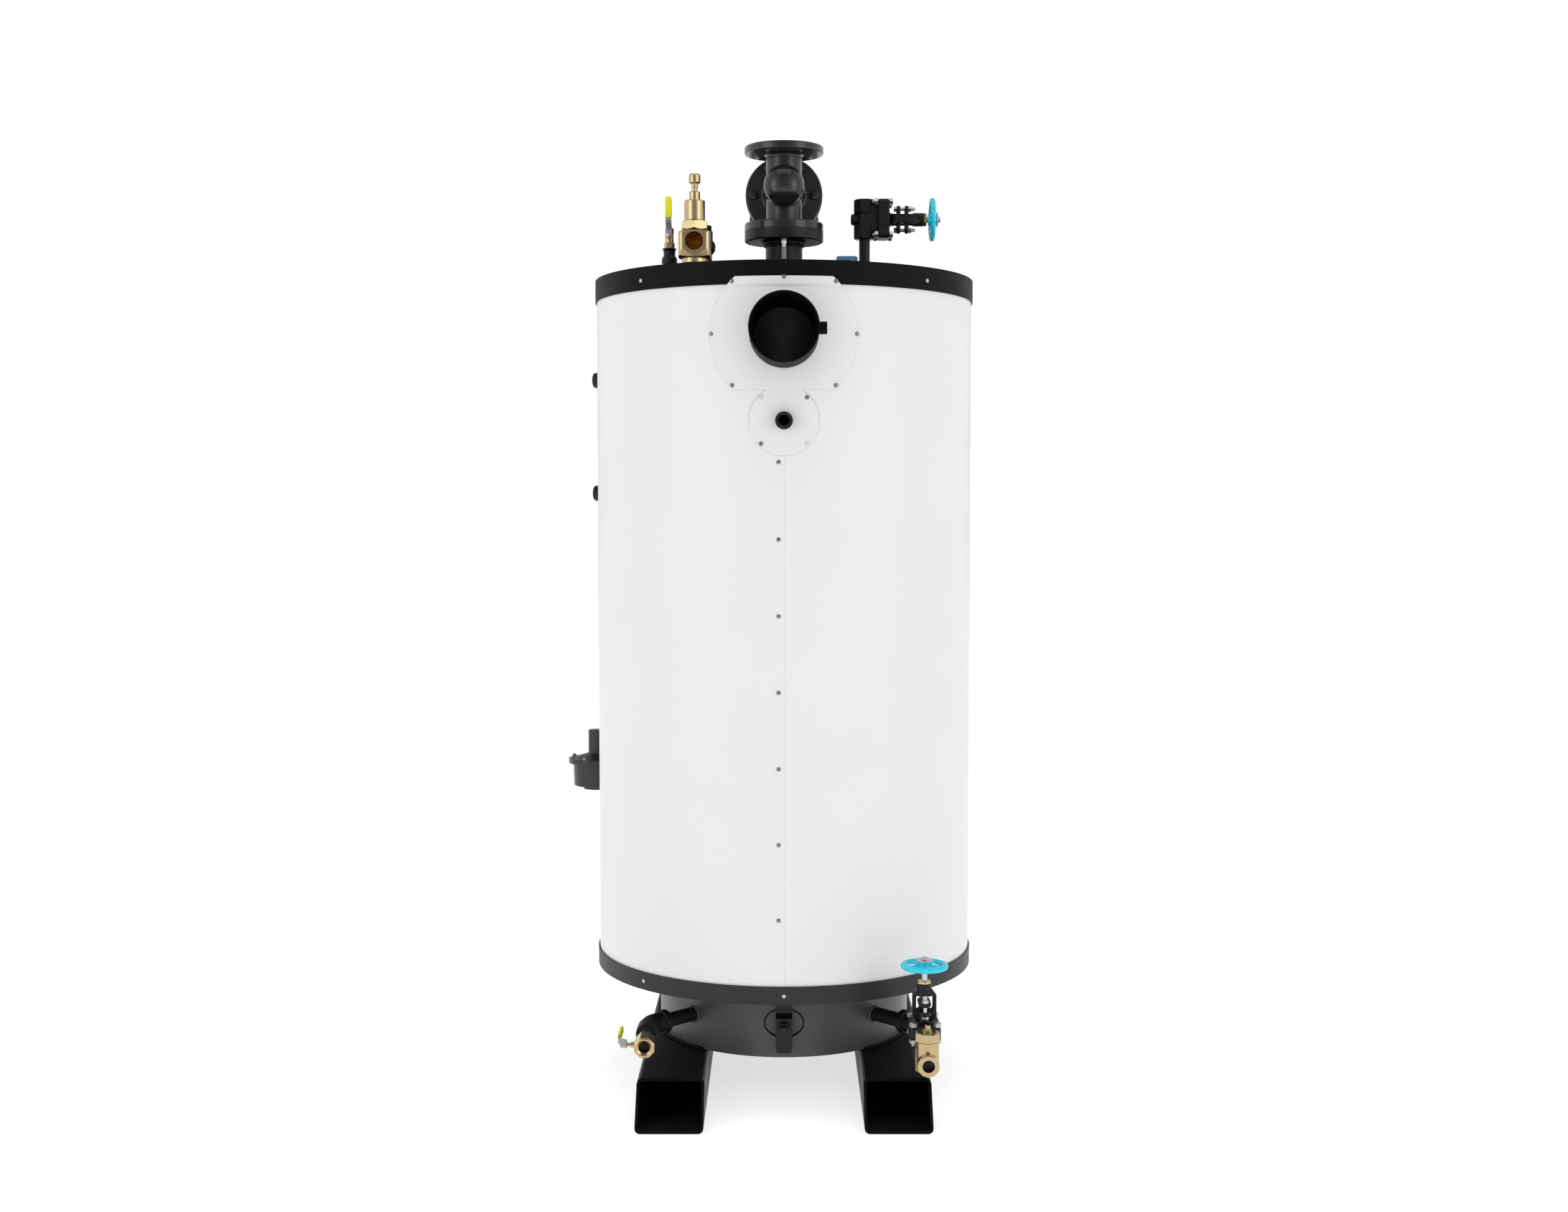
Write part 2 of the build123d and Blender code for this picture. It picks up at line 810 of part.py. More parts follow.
with BuildPart() as bottom_head:
    with BuildSketch(Plane.XY.offset(vessel_bottom + bottom_head_rise)):
        Circle(vessel_radius - vessel_wall)
    extrude(amount=head_thickness)
keep(bottom_head.part, "vessel_bottom_head")

with BuildPart() as top_head:
    with BuildSketch(Plane.XY.offset(vessel_top - head_thickness)):
        Circle(vessel_radius)
    extrude(amount=head_thickness)
keep(top_head.part, "vessel_top_head")

# Bottom pan: a ring with a turned-up rim, closed on the vessel
with BuildPart() as bottom_pan:
    with BuildSketch(Plane.XZ):
        with BuildLine():
            Polyline(
                (vessel_radius + seat_gap, pan_bottom),
                (rim_radius, pan_bottom),
                (rim_radius, pan_bottom + pan_height),
                (rim_radius - rim_sheet, pan_bottom + pan_height),
                (rim_radius - rim_sheet, pan_bottom + rim_sheet),
                (vessel_radius + seat_gap, pan_bottom + rim_sheet),
                close=True,
            )
        make_face()
    revolve(axis=Axis.Z)
keep(bottom_pan.part, "bottom_pan")

# Jacket: a rolled sheet that stands in the pan and carries the cover
with BuildPart() as jacket:
    with BuildSketch(Plane.XY.offset(pan_bottom + rim_sheet)):
        Circle(jacket_radius)
        Circle(jacket_radius - jacket_sheet, mode=Mode.SUBTRACT)
    extrude(amount=cover_top - rim_sheet - pan_bottom - rim_sheet)
    with BuildSketch(Plane.XZ):
        with Locations((0, flue_z)):
            Circle(flue_radius + sheet_hole_gap)
        with Locations((0, sight_z)):
            Circle(sight_radius + sheet_hole_gap)
    extrude(amount=2 * jacket_radius, mode=Mode.SUBTRACT)
    for height in plug_heights:
        with BuildSketch(Plane((0, 0, height), x_dir=up, z_dir=bearing_direction(plug_bearing))):
            Circle(one_inch_radius + sheet_hole_gap)
        extrude(amount=2 * jacket_radius, mode=Mode.SUBTRACT)
    gas_hole = Plane((0, 0, regulator_inlet_z), x_dir=up, z_dir=bearing_direction(regulator_bearing))
    with BuildSketch(gas_hole):
        Circle(one_inch_radius + sheet_hole_gap)
    extrude(amount=2 * jacket_radius, mode=Mode.SUBTRACT)
keep(jacket.part, "jacket")

# Top cover: a flat sheet with a turned-down rim, holed for what stands on the top head
with BuildPart() as top_cover:
    with BuildSketch(Plane.XZ):
        with BuildLine():
            Polyline(
                (0, cover_top),
                (rim_radius, cover_top),
                (rim_radius, cover_bottom),
                (rim_radius - rim_sheet, cover_bottom),
                (rim_radius - rim_sheet, cover_top - rim_sheet),
                (0, cover_top - rim_sheet),
                close=True,
            )
        make_face()
    revolve(axis=Axis.Z)
    fillet(top_cover.faces().sort_by(Axis.Z)[-1].edges(), cover_corner)
    with BuildSketch(Plane.XY.offset(cover_top)):
        Circle(three_inch_radius + sheet_hole_gap)
        with Locations((safety_x, safety_y)):
            Circle(one_inch_radius + sheet_hole_gap)
        with Locations((vent_x, vent_y)):
            Circle(vent_neck_radius + sheet_hole_gap)
        with Locations((tapping_x, tapping_y)):
            Circle(tapping_stem_radius + sheet_hole_gap)
        with Locations((aux_x, aux_y)):
            Circle(small_radius + sheet_hole_gap)
        with Locations((lug_x, 0)):
            Rectangle(lug_width + 2 * sheet_hole_gap, lug_thickness + 2 * sheet_hole_gap)
    extrude(amount=-2 * rim_sheet, mode=Mode.SUBTRACT)
keep(top_cover.part, "top_cover")

# Flue plate: one rolled sheet in a keyhole outline, joggled out over the cover's rim
with BuildPart() as flue_plate:
    inner = jacket_radius + seat_gap
    outer = rim_radius + seat_gap
    joggle_top = cover_bottom - seat_gap
    plate_top = flue_z + plate_half_height
    plate_bottom = sight_z - plate_foot_radius
    with BuildSketch(Plane.XZ):
        with BuildLine():
            Polyline(
                (inner, plate_bottom),
                (inner, joggle_top - joggle_run),
                (outer, joggle_top),
                (outer, plate_top),
                (outer + plate_sheet, plate_top),
                (outer + plate_sheet, joggle_top - plate_sheet / 2),
                (inner + plate_sheet, joggle_top - joggle_run - plate_sheet / 2),
                (inner + plate_sheet, plate_bottom),
                close=True,
            )
        make_face()
    revolve(axis=Axis.Z)
    with BuildSketch(Plane.XZ):
        with Locations((0, flue_z)):
            Circle(plate_radius)
            Rectangle(2 * plate_radius, 2 * plate_half_height, mode=Mode.INTERSECT)
        with Locations((0, sight_z)):
            Circle(plate_foot_radius)
            Circle(sight_radius + seat_gap, mode=Mode.SUBTRACT)
        with Locations((0, flue_z)):
            Circle(flue_radius + seat_gap, mode=Mode.SUBTRACT)
    extrude(amount=2 * rim_radius, mode=Mode.INTERSECT)
keep(flue_plate.part, "flue_plate")

# Flue outlet with a socket in its mouth and the test port welded to its side, and the sight pipe
with BuildPart() as flue_outlet:
    with BuildSketch(Plane.XZ.offset(flue_end)):
        with Locations((0, flue_z)):
            Circle(flue_radius)
    extrude(amount=-flue_end)
    with BuildSketch(Plane((0, test_port_setback - flue_end, flue_z), z_dir=(1, 0, 0))):
        Circle(test_port_radius)
    extrude(amount=flue_radius + test_port_reach)
    with BuildSketch(Plane((0, test_port_setback - flue_end, flue_z), z_dir=(1, 0, 0))):
        Circle(test_port_bore)
    extrude(amount=flue_radius + test_port_reach, mode=Mode.SUBTRACT)
    with BuildSketch(Plane.XZ.offset(flue_end)):
        with Locations((0, flue_z)):
            Circle(flue_radius - flue_wall)
    extrude(amount=-flue_end, mode=Mode.SUBTRACT)
    with BuildSketch(Plane.XZ.offset(flue_end)):
        with Locations((0, flue_z)):
            Circle(flue_radius - flue_socket_wall)
    extrude(amount=-flue_socket_depth, mode=Mode.SUBTRACT)
    Cylinder(vessel_radius + seat_gap, 2 * cover_top, mode=Mode.SUBTRACT)
keep(flue_outlet.part, "flue_outlet")

sight_start = Plane((0, 0, sight_z), x_dir=(1, 0, 0), z_dir=(0, -1, 0))
sight_end = jacket_radius + seat_gap + plate_sheet + sight_reach
build_pipe(sight_start, sight_end, sight_radius, sight_bore, "sight_pipe", vessel_radius)

# Handhole: an inside cover drawn up by a stud through a yoke on the outside
with BuildPart() as handhole_cover:
    plug_front = math.sqrt(vessel_radius**2 - (handhole_width / 2) ** 2)
    lap_width = handhole_width / 2 + handhole_lap
    lap_front = math.sqrt((vessel_radius - vessel_wall) ** 2 - lap_width**2) - seat_gap
    with BuildSketch(Plane.XZ.offset(lap_front)):
        with Locations((0, handhole_z)):
            Ellipse(lap_width, handhole_height / 2 + handhole_lap)
    extrude(amount=-handhole_cover_thickness)
    with BuildSketch(Plane.XZ.offset(lap_front)):
        with Locations((0, handhole_z)):
            Ellipse(handhole_width / 2 - handhole_gap, handhole_height / 2 - handhole_gap)
    extrude(amount=plug_front - lap_front)
    with Locations(Plane.XZ.offset(plug_front)):
        with Locations((0, handhole_z)):
            Hole(stud_radius + seat_gap, depth=handhole_cover_thickness)
keep(handhole_cover.part, "handhole_cover")

with BuildPart() as handhole_yoke:
    yoke_front = vessel_radius + yoke_depth
    yoke_side = Plane((-yoke_width / 2, -vessel_radius, handhole_z), x_dir=(0, 1, 0), z_dir=(1, 0, 0))
    with BuildSketch(yoke_side):
        with BuildLine():
            Polyline(
                (yoke_thickness, yoke_above),
                (-yoke_leg_depth, yoke_above),
                (-yoke_leg_depth, yoke_ledge_top),
                (-yoke_depth, yoke_ledge_foot),
                (-yoke_depth, -yoke_flat_foot),
                (-yoke_leg_depth, -yoke_below),
                (yoke_thickness, -yoke_below),
                (yoke_thickness, yoke_leg - yoke_below),
                (yoke_thickness - yoke_depth, 2 * yoke_leg - yoke_below),
                (yoke_thickness - yoke_depth, yoke_above - 2 * yoke_leg),
                (yoke_thickness, yoke_above - yoke_leg),
                close=True,
            )
        make_face()
    extrude(amount=yoke_width)
    fillet(handhole_yoke.edges().filter_by(Axis.X), yoke_round)
    # Seen from the front the lower leg ends in a tongue
    with BuildSketch(Plane.XZ) as tongue:
        with Locations((0, handhole_z + (yoke_above - yoke_below) / 2)):
            Rectangle(yoke_width, yoke_above + yoke_below)
        fillet(tongue.vertices().group_by(Axis.Y)[0], yoke_tongue_corner)
    extrude(amount=yoke_front, mode=Mode.INTERSECT)
    Cylinder(vessel_radius + seat_gap, 2 * pan_bottom, mode=Mode.SUBTRACT)
    with Locations(Plane.XZ.offset(yoke_front)):
        with Locations((0, handhole_z)):
            Hole(stud_radius + stem_gap, depth=yoke_depth)
keep(handhole_yoke.part, "handhole_yoke")

with BuildPart() as handhole_stud:
    with BuildSketch(Plane.XZ.offset(plug_front - handhole_cover_thickness)):
        with Locations((0, handhole_z)):
            Circle(stud_radius)
    extrude(amount=yoke_front + stud_nut_height + stud_proud - plug_front + handhole_cover_thickness)
    with BuildSketch(Plane.XZ.offset(yoke_front)):
        with Locations((0, handhole_z)):
            RegularPolygon(stud_nut_flats / 2, 6, major_radius=False)
    extrude(amount=stud_nut_height)
keep(handhole_stud.part, "handhole_stud")

# Main steam outlet: riser, slip-on flange and flanged gate valve with its stem along +Y
riser_top = riser_flange_bottom + riser_flange_thickness - riser_setback
build_pipe(
    Plane.XY.offset(vessel_top),
    riser_top - vessel_top,
    three_inch_radius,
    three_inch_bore,
    "steam_riser",
)

with BuildPart() as riser_flange:
    with BuildSketch(Plane.XZ) as slip_on:
        with BuildLine():
            Polyline(
                (three_inch_radius + seat_gap, riser_flange_bottom - riser_hub_height),
                (riser_hub_radius, riser_flange_bottom - riser_hub_height),
                (riser_hub_radius, riser_flange_bottom),
                (main_flange_radius, riser_flange_bottom),
                (main_flange_radius, main_valve_bottom),
                (three_inch_radius + seat_gap, main_valve_bottom),
                close=True,
            )
        make_face()
        fillet(slip_on.vertices().group_by(Axis.Y)[1].sort_by(Axis.X)[-1], flange_round)
        fillet(slip_on.vertices().group_by(Axis.X)[1], hub_round)
    revolve(axis=Axis.Z)
keep(riser_flange.part, "riser_flange")

with BuildPart() as gate_body:
    stem_plane = Plane((0, 0, main_valve_z), x_dir=(1, 0, 0), z_dir=(0, 1, 0))
    # Barrel and end flanges, turned in one
    with BuildSketch(Plane.XZ) as barrel:
        with BuildLine():
            main_valve_top = main_valve_bottom + gate_face_to_face
            Polyline(
                (0, main_valve_bottom),
                (main_flange_radius, main_valve_bottom),
                (main_flange_radius, main_valve_bottom + gate_flange_thickness),
                (gate_barrel_radius, main_valve_bottom + gate_flange_thickness),
                (gate_barrel_radius, main_valve_top - gate_flange_thickness),
                (main_flange_radius, main_valve_top - gate_flange_thickness),
                (main_flange_radius, main_valve_top),
                (0, main_valve_top),
                close=True,
            )
        make_face()
        fillet(barrel.vertices().group_by(Axis.X)[1], casting_fillet)
        fillet(barrel.vertices().group_by(Axis.X)[-1].sort_by(Axis.Y)[1:], flange_round)
    revolve(axis=Axis.Z)
    # Rounded belly towards -Y, neck and bonnet flange towards +Y
    with BuildSketch(Plane.XY.offset(main_valve_z)) as belly:
        with BuildLine():
            belly_top = -gate_belly_reach - gate_dome_height
            bonnet_start = bonnet_face + bonnet_flange_thickness
            Polyline(
                (gate_belly_radius, -gate_belly_reach),
                (gate_belly_radius, bonnet_face),
                (main_flange_radius, bonnet_face),
                (main_flange_radius, bonnet_start),
                (0, bonnet_start),
                (0, belly_top),
            )
            EllipticalCenterArc(
                (0, -gate_belly_reach),
                gate_belly_radius,
                gate_dome_height,
                start_angle=270,
                arc_size=90,
            )
        make_face()
        fillet(belly.vertices().group_by(Axis.Y)[2].sort_by(Axis.X)[-1], flange_round)
        fillet(belly.vertices().group_by(Axis.Y)[2].sort_by(Axis.X)[0], casting_fillet)
    revolve(axis=Axis((0, 0, main_valve_z), (0, 1, 0)))
    with BuildSketch(Plane.XY.offset(main_valve_bottom)):
        Circle(gate_bore)
    extrude(amount=gate_face_to_face, mode=Mode.SUBTRACT)
    with BuildSketch(Plane.XY.offset(main_valve_top)):
        with PolarLocations(main_bolt_circle / 2, main_bolt_count, start_angle=180 / main_bolt_count):
            Circle(main_bolt_hole_radius)
    extrude(amount=-gate_flange_thickness, mode=Mode.SUBTRACT)
keep(gate_body.part, "main_valve_body")

with BuildPart() as gate_bonnet:
    with BuildSketch(Plane.XY.offset(main_valve_z)) as cone:
        with BuildLine():
            Polyline(
                (gate_stem_radius + stem_gap, bonnet_start),
                (main_flange_radius, bonnet_start),
                (main_flange_radius, bonnet_start + bonnet_flange_thickness),
                (bonnet_foot_radius, bonnet_start + bonnet_flange_thickness),
                (bonnet_top_radius, bonnet_cone_end),
                (packing_radius, bonnet_cone_end),
                (packing_radius, packing_end),
                (gate_stem_radius + stem_gap, packing_end),
                close=True,
            )
        make_face()
        fillet(cone.vertices().group_by(Axis.Y)[1].sort_by(Axis.X)[-1], flange_round)
        fillet(cone.vertices().group_by(Axis.Y)[2].sort_by(Axis.X)[0], casting_fillet)
    revolve(axis=Axis((0, 0, main_valve_z), (0, 1, 0)))
keep(gate_bonnet.part, "main_valve_bonnet")

with BuildPart() as gate_gland:
    with BuildSketch(stem_plane.offset(packing_end)):
        Circle(gate_sleeve_radius)
    extrude(amount=gate_gland_gap)
    with BuildSketch(stem_plane.offset(packing_end + gate_gland_gap)):
        SlotOverall(gate_gland_length, gate_gland_width)
    extrude(amount=gate_gland_thickness)
    with BuildSketch(stem_plane.offset(packing_end)):
        Circle(gate_stem_radius + stem_gap)
    extrude(amount=gate_gland_gap + gate_gland_thickness, mode=Mode.SUBTRACT)
keep(gate_gland.part, "main_valve_gland")

with BuildPart() as gate_stem:
    with BuildSketch(stem_plane.offset(bonnet_start + seat_gap)):
        Circle(gate_stem_radius)
    extrude(amount=gate_stem_end - bonnet_start - seat_gap)
keep(gate_stem.part, "main_valve_stem")

build_handwheel(
    stem_plane.offset(gate_wheel_y),
    gate_wheel_radius,
    gate_wheel_rim,
    gate_wheel_hub_radius,
    gate_wheel_hub_length,
    gate_stem_radius,
    gate_wheel_spokes,
    gate_wheel_scallops,
    "main_handwheel",
)

# Safety valve: nipple, square body with its outlet towards -Y, spring bonnet and screw
build_pipe(
    Plane((safety_x, safety_y, vessel_top)),
    safety_base_z - vessel_top,
    one_inch_radius,
    one_inch_bore,
    "safety_nipple",
)

with BuildPart() as safety_body:
    safety_axis = Plane((safety_x, safety_y, 0))
    safety_side = Plane((safety_x, safety_y, 0), x_dir=(1, 0, 0), z_dir=(0, -1, 0))
    half_width = safety_width / 2
    safety_reach = half_width * math.sqrt(2)
    with BuildSketch(safety_axis.offset(safety_foot_top)):
        RectangleRounded(safety_width, safety_width, safety_corner)
    extrude(amount=safety_body_height)
    # The square is turned to a cone at its foot and its top, and again round the outlet face
    with BuildSketch(safety_side):
        with BuildLine():
            Polyline(
                (0, safety_foot_top),
                (half_width - safety_bevel_inset, safety_foot_top),
                (safety_reach, safety_foot_top + safety_bevel),
                (safety_reach, safety_body_top - safety_bevel),
                (half_width - safety_bevel_inset, safety_body_top),
                (0, safety_body_top),
                close=True,
            )
        make_face()
    revolve(axis=Axis((safety_x, safety_y, 0), up), mode=Mode.INTERSECT)
    with BuildSketch(safety_axis.offset(safety_outlet_z)):
        with BuildLine():
            Polyline(
                (0, -half_width),
                (safety_face_radius, -half_width),
                (safety_width, safety_face_bevel - half_width),
                (safety_width, half_width),
                (0, half_width),
                close=True,
            )
        make_face()
    revolve(axis=Axis((safety_x, safety_y, safety_outlet_z), (0, 1, 0)), mode=Mode.INTERSECT)
    with BuildSketch(safety_axis.offset(safety_base_z)):
        Circle(safety_foot_radius)
    extrude(amount=safety_foot_height)
    outlet = Plane((safety_x, safety_y - half_width, safety_outlet_z), x_dir=(1, 0, 0), z_dir=(0, -1, 0))
    with BuildSketch(outlet):
        Circle(safety_outlet_bore)
    extrude(amount=-safety_outlet_depth, mode=Mode.SUBTRACT)
keep(safety_body.part, "safety_valve_body")

safety_hex = turned_prism(
    safety_axis.offset(safety_body_top),
    6,
    safety_hex_flats,
    safety_hex_height,
    safety_hex_bevel,
    hexagon_turn,
)
with BuildPart() as safety_bonnet:
    add(safety_hex)
    with BuildSketch(safety_side) as spring_housing:
        with BuildLine():
            Polyline(
                (0, safety_body_top + safety_hex_bevel),
                (safety_bonnet_radius, safety_body_top + safety_hex_bevel),
                (safety_bonnet_radius, safety_bonnet_top),
                (safety_neck_radius, safety_bonnet_top),
                (safety_neck_radius, safety_neck_top),
                (0, safety_neck_top),
                close=True,
            )
        make_face()
        tiers = spring_housing.vertices().group_by(Axis.Y)
        fillet([tiers[1].sort_by(Axis.X)[-1], tiers[2].sort_by(Axis.X)[-1]], safety_edge_round)
    revolve(axis=Axis((safety_x, safety_y, 0), up))
keep(safety_bonnet.part, "safety_valve_bonnet")

with BuildPart() as safety_screw:
    collar_foot = safety_neck_top + safety_screw_length
    knob_foot = collar_foot + safety_collar_length
    knob_top = knob_foot + safety_knob_height
    with BuildSketch(safety_side) as knob:
        with BuildLine():
            Polyline(
                (0, safety_neck_top),
                (safety_screw_radius, safety_neck_top),
                (safety_screw_radius, collar_foot),
                (safety_collar_radius, collar_foot),
                (safety_collar_radius, knob_foot),
                (safety_knob_radius, knob_foot),
                (safety_knob_radius, knob_top),
                (0, knob_top),
                close=True,
            )
        make_face()
        fillet(knob.vertices().group_by(Axis.X)[-1], safety_knob_round)
    revolve(axis=Axis((safety_x, safety_y, 0), up))
    with BuildSketch(safety_axis.offset(knob_top)):
        Rectangle(safety_slot, 2 * safety_knob_radius)
    extrude(amount=-safety_slot, mode=Mode.SUBTRACT)
keep(safety_screw.part, "safety_valve_screw")

# Vent cock: black riser with a collar, brass ball valve and lever
with BuildPart() as vent_fitting:
    vent_axis = Plane((vent_x, vent_y, 0))
    vent_waist = vent_fitting_top - vent_collar_radius
    with BuildSketch(Plane((vent_x, vent_y, 0), x_dir=(1, 0, 0), z_dir=(0, -1, 0))):
        with BuildLine():
            Polyline(
                (0, vessel_top),
                (vent_neck_radius, vessel_top),
                (vent_neck_radius, vent_waist - vent_shoulder_radius),
                (vent_shoulder_radius, vent_waist - vent_shoulder_radius),
                (vent_shoulder_radius, vent_waist - vent_neck_radius / 2),
                (vent_neck_radius, vent_waist),
                (vent_neck_radius, vent_fitting_top - vent_neck_radius / 2),
                (vent_collar_radius, vent_fitting_top),
                (0, vent_fitting_top),
                close=True,
            )
        make_face()
    revolve(axis=Axis((vent_x, vent_y, 0), up))
keep(vent_fitting.part, "vent_fitting")

vent_stem_z = vent_fitting_top + vent_stem_rise
vent_stem = Plane((vent_x, vent_y, vent_stem_z), x_dir=up, z_dir=(0, -1, 0))
vent_foot = turned_prism(
    vent_axis.offset(vent_fitting_top),
    6,
    vent_foot_flats,
    vent_foot_height,
    vent_bevel,
)
vent_head = turned_prism(
    vent_axis.offset(vent_fitting_top + vent_head_start),
    6,
    vent_head_flats,
    vent_body_height - vent_head_start,
    vent_bevel,
)
with BuildPart() as vent_body:
    add(vent_foot)
    with BuildSketch(vent_axis.offset(vent_fitting_top + vent_foot_height)):
        Circle(vent_barrel_radius)
    extrude(amount=vent_head_start - vent_foot_height)
    add(vent_head)
    with BuildSketch(vent_stem):
        Circle(2 * vent_stem_radius)
    extrude(amount=vent_stem_reach)
    with BuildSketch(vent_stem.offset(vent_stem_reach)):
        Circle(vent_stem_radius)
    extrude(amount=2 * lever_sheet)
    with BuildSketch(vent_axis.offset(vent_fitting_top + vent_body_height)):
        Circle(vent_bore)
    extrude(amount=-vent_bore_depth, mode=Mode.SUBTRACT)
keep(vent_body.part, "vent_valve_body")

build_lever(
    vent_stem.offset(vent_stem_reach + seat_gap),
    vent_lever_length,
    vent_grip_start,
    vent_stem_radius,
    "vent",
)

# Control tapping: riser, ball-shaped cross with a plug on top, and an arm with a banded mouth
tapping_axis = Plane((tapping_x, tapping_y, tapping_z))
tapping_plug = turned_prism(
    tapping_axis.offset(tapping_neck_top),
    6,
    tapping_plug_flats,
    tapping_plug_top - tapping_neck_top,
    tapping_bevel,
)
with BuildPart() as tapping:
    with BuildSketch(tapping_axis):
        Circle(tapping_stem_radius)
    extrude(amount=vessel_top - tapping_z)
    with Locations((tapping_x, tapping_y, tapping_z)):
        Sphere(tapping_ball_radius)
    with BuildSketch(tapping_axis):
        Circle(tapping_neck_radius)
    extrude(amount=tapping_neck_top)
    add(tapping_plug)
    tapping_arm = Plane(tapping_axis.origin, z_dir=(0, 1, 0))
    with BuildSketch(tapping_arm):
        Circle(tapping_arm_radius)
    extrude(amount=tapping_arm_length)
    with BuildSketch(tapping_arm.offset(tapping_arm_length - tapping_band_length)):
        Circle(tapping_band_radius)
    extrude(amount=tapping_band_length)
keep(tapping.part, "control_tapping")

# Lifting lug
with BuildPart() as lifting_lug:
    with BuildSketch(Plane.XZ.offset(-lug_thickness / 2)):
        with Locations((lug_x, (vessel_top + lug_top) / 2)):
            Rectangle(lug_width, lug_top - vessel_top)
        with Locations((lug_x, lug_top - lug_hole_cover - lug_hole_radius)):
            Circle(lug_hole_radius, mode=Mode.SUBTRACT)
    extrude(amount=lug_thickness)
    top_corners = lifting_lug.edges().filter_by(Axis.Y).group_by(Axis.Z)[-1]
    fillet(top_corners, lug_corner)
keep(lifting_lug.part, "lifting_lug")

# Auxiliary steam valve on its riser, stem along +X, shown closed
aux_bottom = aux_z - forged_face_to_face / 2
build_pipe(
    Plane((aux_x, aux_y, vessel_top)),
    aux_bottom - vessel_top,
    small_radius,
    small_bore,
    "aux_riser",
)
build_forged_valve(Plane((aux_x, aux_y, aux_z), x_dir=up, z_dir=(1, 0, 0)), 0, "aux")

# Drain line on the left and feed line on the right
build_line(-1, drain_valve_rear, "drain")
build_line(1, feed_valve_y - forged_face_to_face / 2, "feed")

# Coupling on the drain nipple, hard against the elbow
with BuildPart() as drain_coupling:
    coupling_seat = Plane((-line_bend, -line_mouth, line_z), x_dir=(1, 0, 0), z_dir=(0, -1, 0))
    with BuildSketch(coupling_seat):
        Circle(elbow_band_radius)
    extrude(amount=coupling_length)
    fillet(drain_coupling.edges().filter_by(GeomType.CIRCLE), elbow_band_round)
    with BuildSketch(coupling_seat):
        Circle(one_inch_radius + seat_gap)
    extrude(amount=coupling_length, mode=Mode.SUBTRACT)
keep(drain_coupling.part, "drain_coupling")

# Drain ball valve: one octagon bar with a countersunk mouth and its stem along -X
drain_axis = Plane((-line_bend, -drain_valve_rear, line_z), x_dir=(1, 0, 0), z_dir=(0, -1, 0))
drain_middle = drain_valve_rear + drain_valve_length / 2
drain_stem = Plane((-line_bend, -drain_middle, line_z), x_dir=(0, 1, 0), z_dir=(-1, 0, 0))
drain_bar = turned_prism(drain_axis, 8, drain_flats, drain_valve_length, drain_bevel, octagon_turn)
with BuildPart() as drain_body:
    add(drain_bar)
    with BuildSketch(drain_stem):
        Circle(drain_boss_radius)
    extrude(amount=drain_boss_reach)
    with BuildSketch(drain_stem):
        Circle(drain_stem_radius)
    extrude(amount=drain_stem_reach + 2 * lever_sheet)
    thread_start = drain_axis.offset(drain_valve_length - drain_mouth_depth)
    with BuildSketch(thread_start):
        Circle(drain_bore)
    extrude(amount=-drain_bore_depth, mode=Mode.SUBTRACT)
    with BuildSketch(thread_start):
        Circle(drain_bore)
    with BuildSketch(drain_axis.offset(drain_valve_length)):
        Circle(drain_mouth_radius)
    loft(mode=Mode.SUBTRACT)
keep(drain_body.part, "drain_valve_body")

build_lever(
    drain_stem.offset(drain_stem_reach),
    drain_lever_length,
    drain_grip_start,
    drain_stem_radius,
    "drain",
)

# Feed valve, stem up, shown open, and the check valve before it
feed_seat = Plane((line_bend, -feed_valve_y, line_z), x_dir=(0, -1, 0), z_dir=up)
build_forged_valve(feed_seat, forged_lift, "feed")

check_run = Plane((line_bend, -check_rear, line_z), x_dir=(1, 0, 0), z_dir=(0, -1, 0))
check_chamber = Plane((line_bend, -(check_rear + check_end) / 2, line_z))
with BuildPart() as check_body:
    with BuildSketch(check_run):
        Circle(check_run_radius)
    extrude(amount=check_end - check_rear)
    chamfer(check_body.faces().sort_by(Axis.Y)[0].edges(), check_mouth_bevel)
    with BuildSketch(check_chamber.offset(-check_chamber_floor)):
        Circle(check_chamber_radius)
    extrude(amount=check_chamber_floor + check_seam)
    with BuildSketch(check_run.offset(check_end - check_rear)):
        Circle(check_bore)
    extrude(amount=-check_bore_depth, mode=Mode.SUBTRACT)
keep(check_body.part, "check_valve_body")

plug_foot = check_chamber.offset(check_seam + check_cap_height)
check_bonnet = turned_prism(
    check_chamber.offset(check_seam),
    8,
    check_cap_flats,
    check_cap_height,
    check_cap_bevel,
    octagon_turn,
)
plug_collar = turned_prism(plug_foot, 6, check_plug_foot_flats, check_plug_foot_height, check_plug_bevel)
plug_head = turned_prism(
    plug_foot.offset(check_plug_foot_height),
    6,
    check_plug_flats,
    check_plug_height,
    check_plug_bevel,
)
with BuildPart() as check_cap:
    add(check_bonnet)
    add(plug_collar)
    add(plug_head)
keep(check_cap.part, "check_valve_cap")

# Plugged level-gauge tappings, two alike
with BuildPart() as gauge_plugs:
    for plug_height in plug_heights:
        plug_axis = Plane((0, 0, plug_height), x_dir=up, z_dir=bearing_direction(plug_bearing))
        with BuildSketch(plug_axis):
            Circle(one_inch_radius)
        extrude(amount=jacket_radius + plug_reach - plug_dome)
        with BuildSketch(plug_axis.offset(jacket_radius + seat_gap)):
            Circle(plug_radius)
        extrude(amount=plug_reach - seat_gap)
    Cylinder(vessel_radius + seat_gap, 2 * cover_top, mode=Mode.SUBTRACT)
    plug_ends = gauge_plugs.faces().sort_by(Axis((0, 0, 0), bearing_direction(plug_bearing)))[-2:]
    fillet(plug_ends.edges(), plug_dome)
keep(gauge_plugs.part, "gauge_plugs")

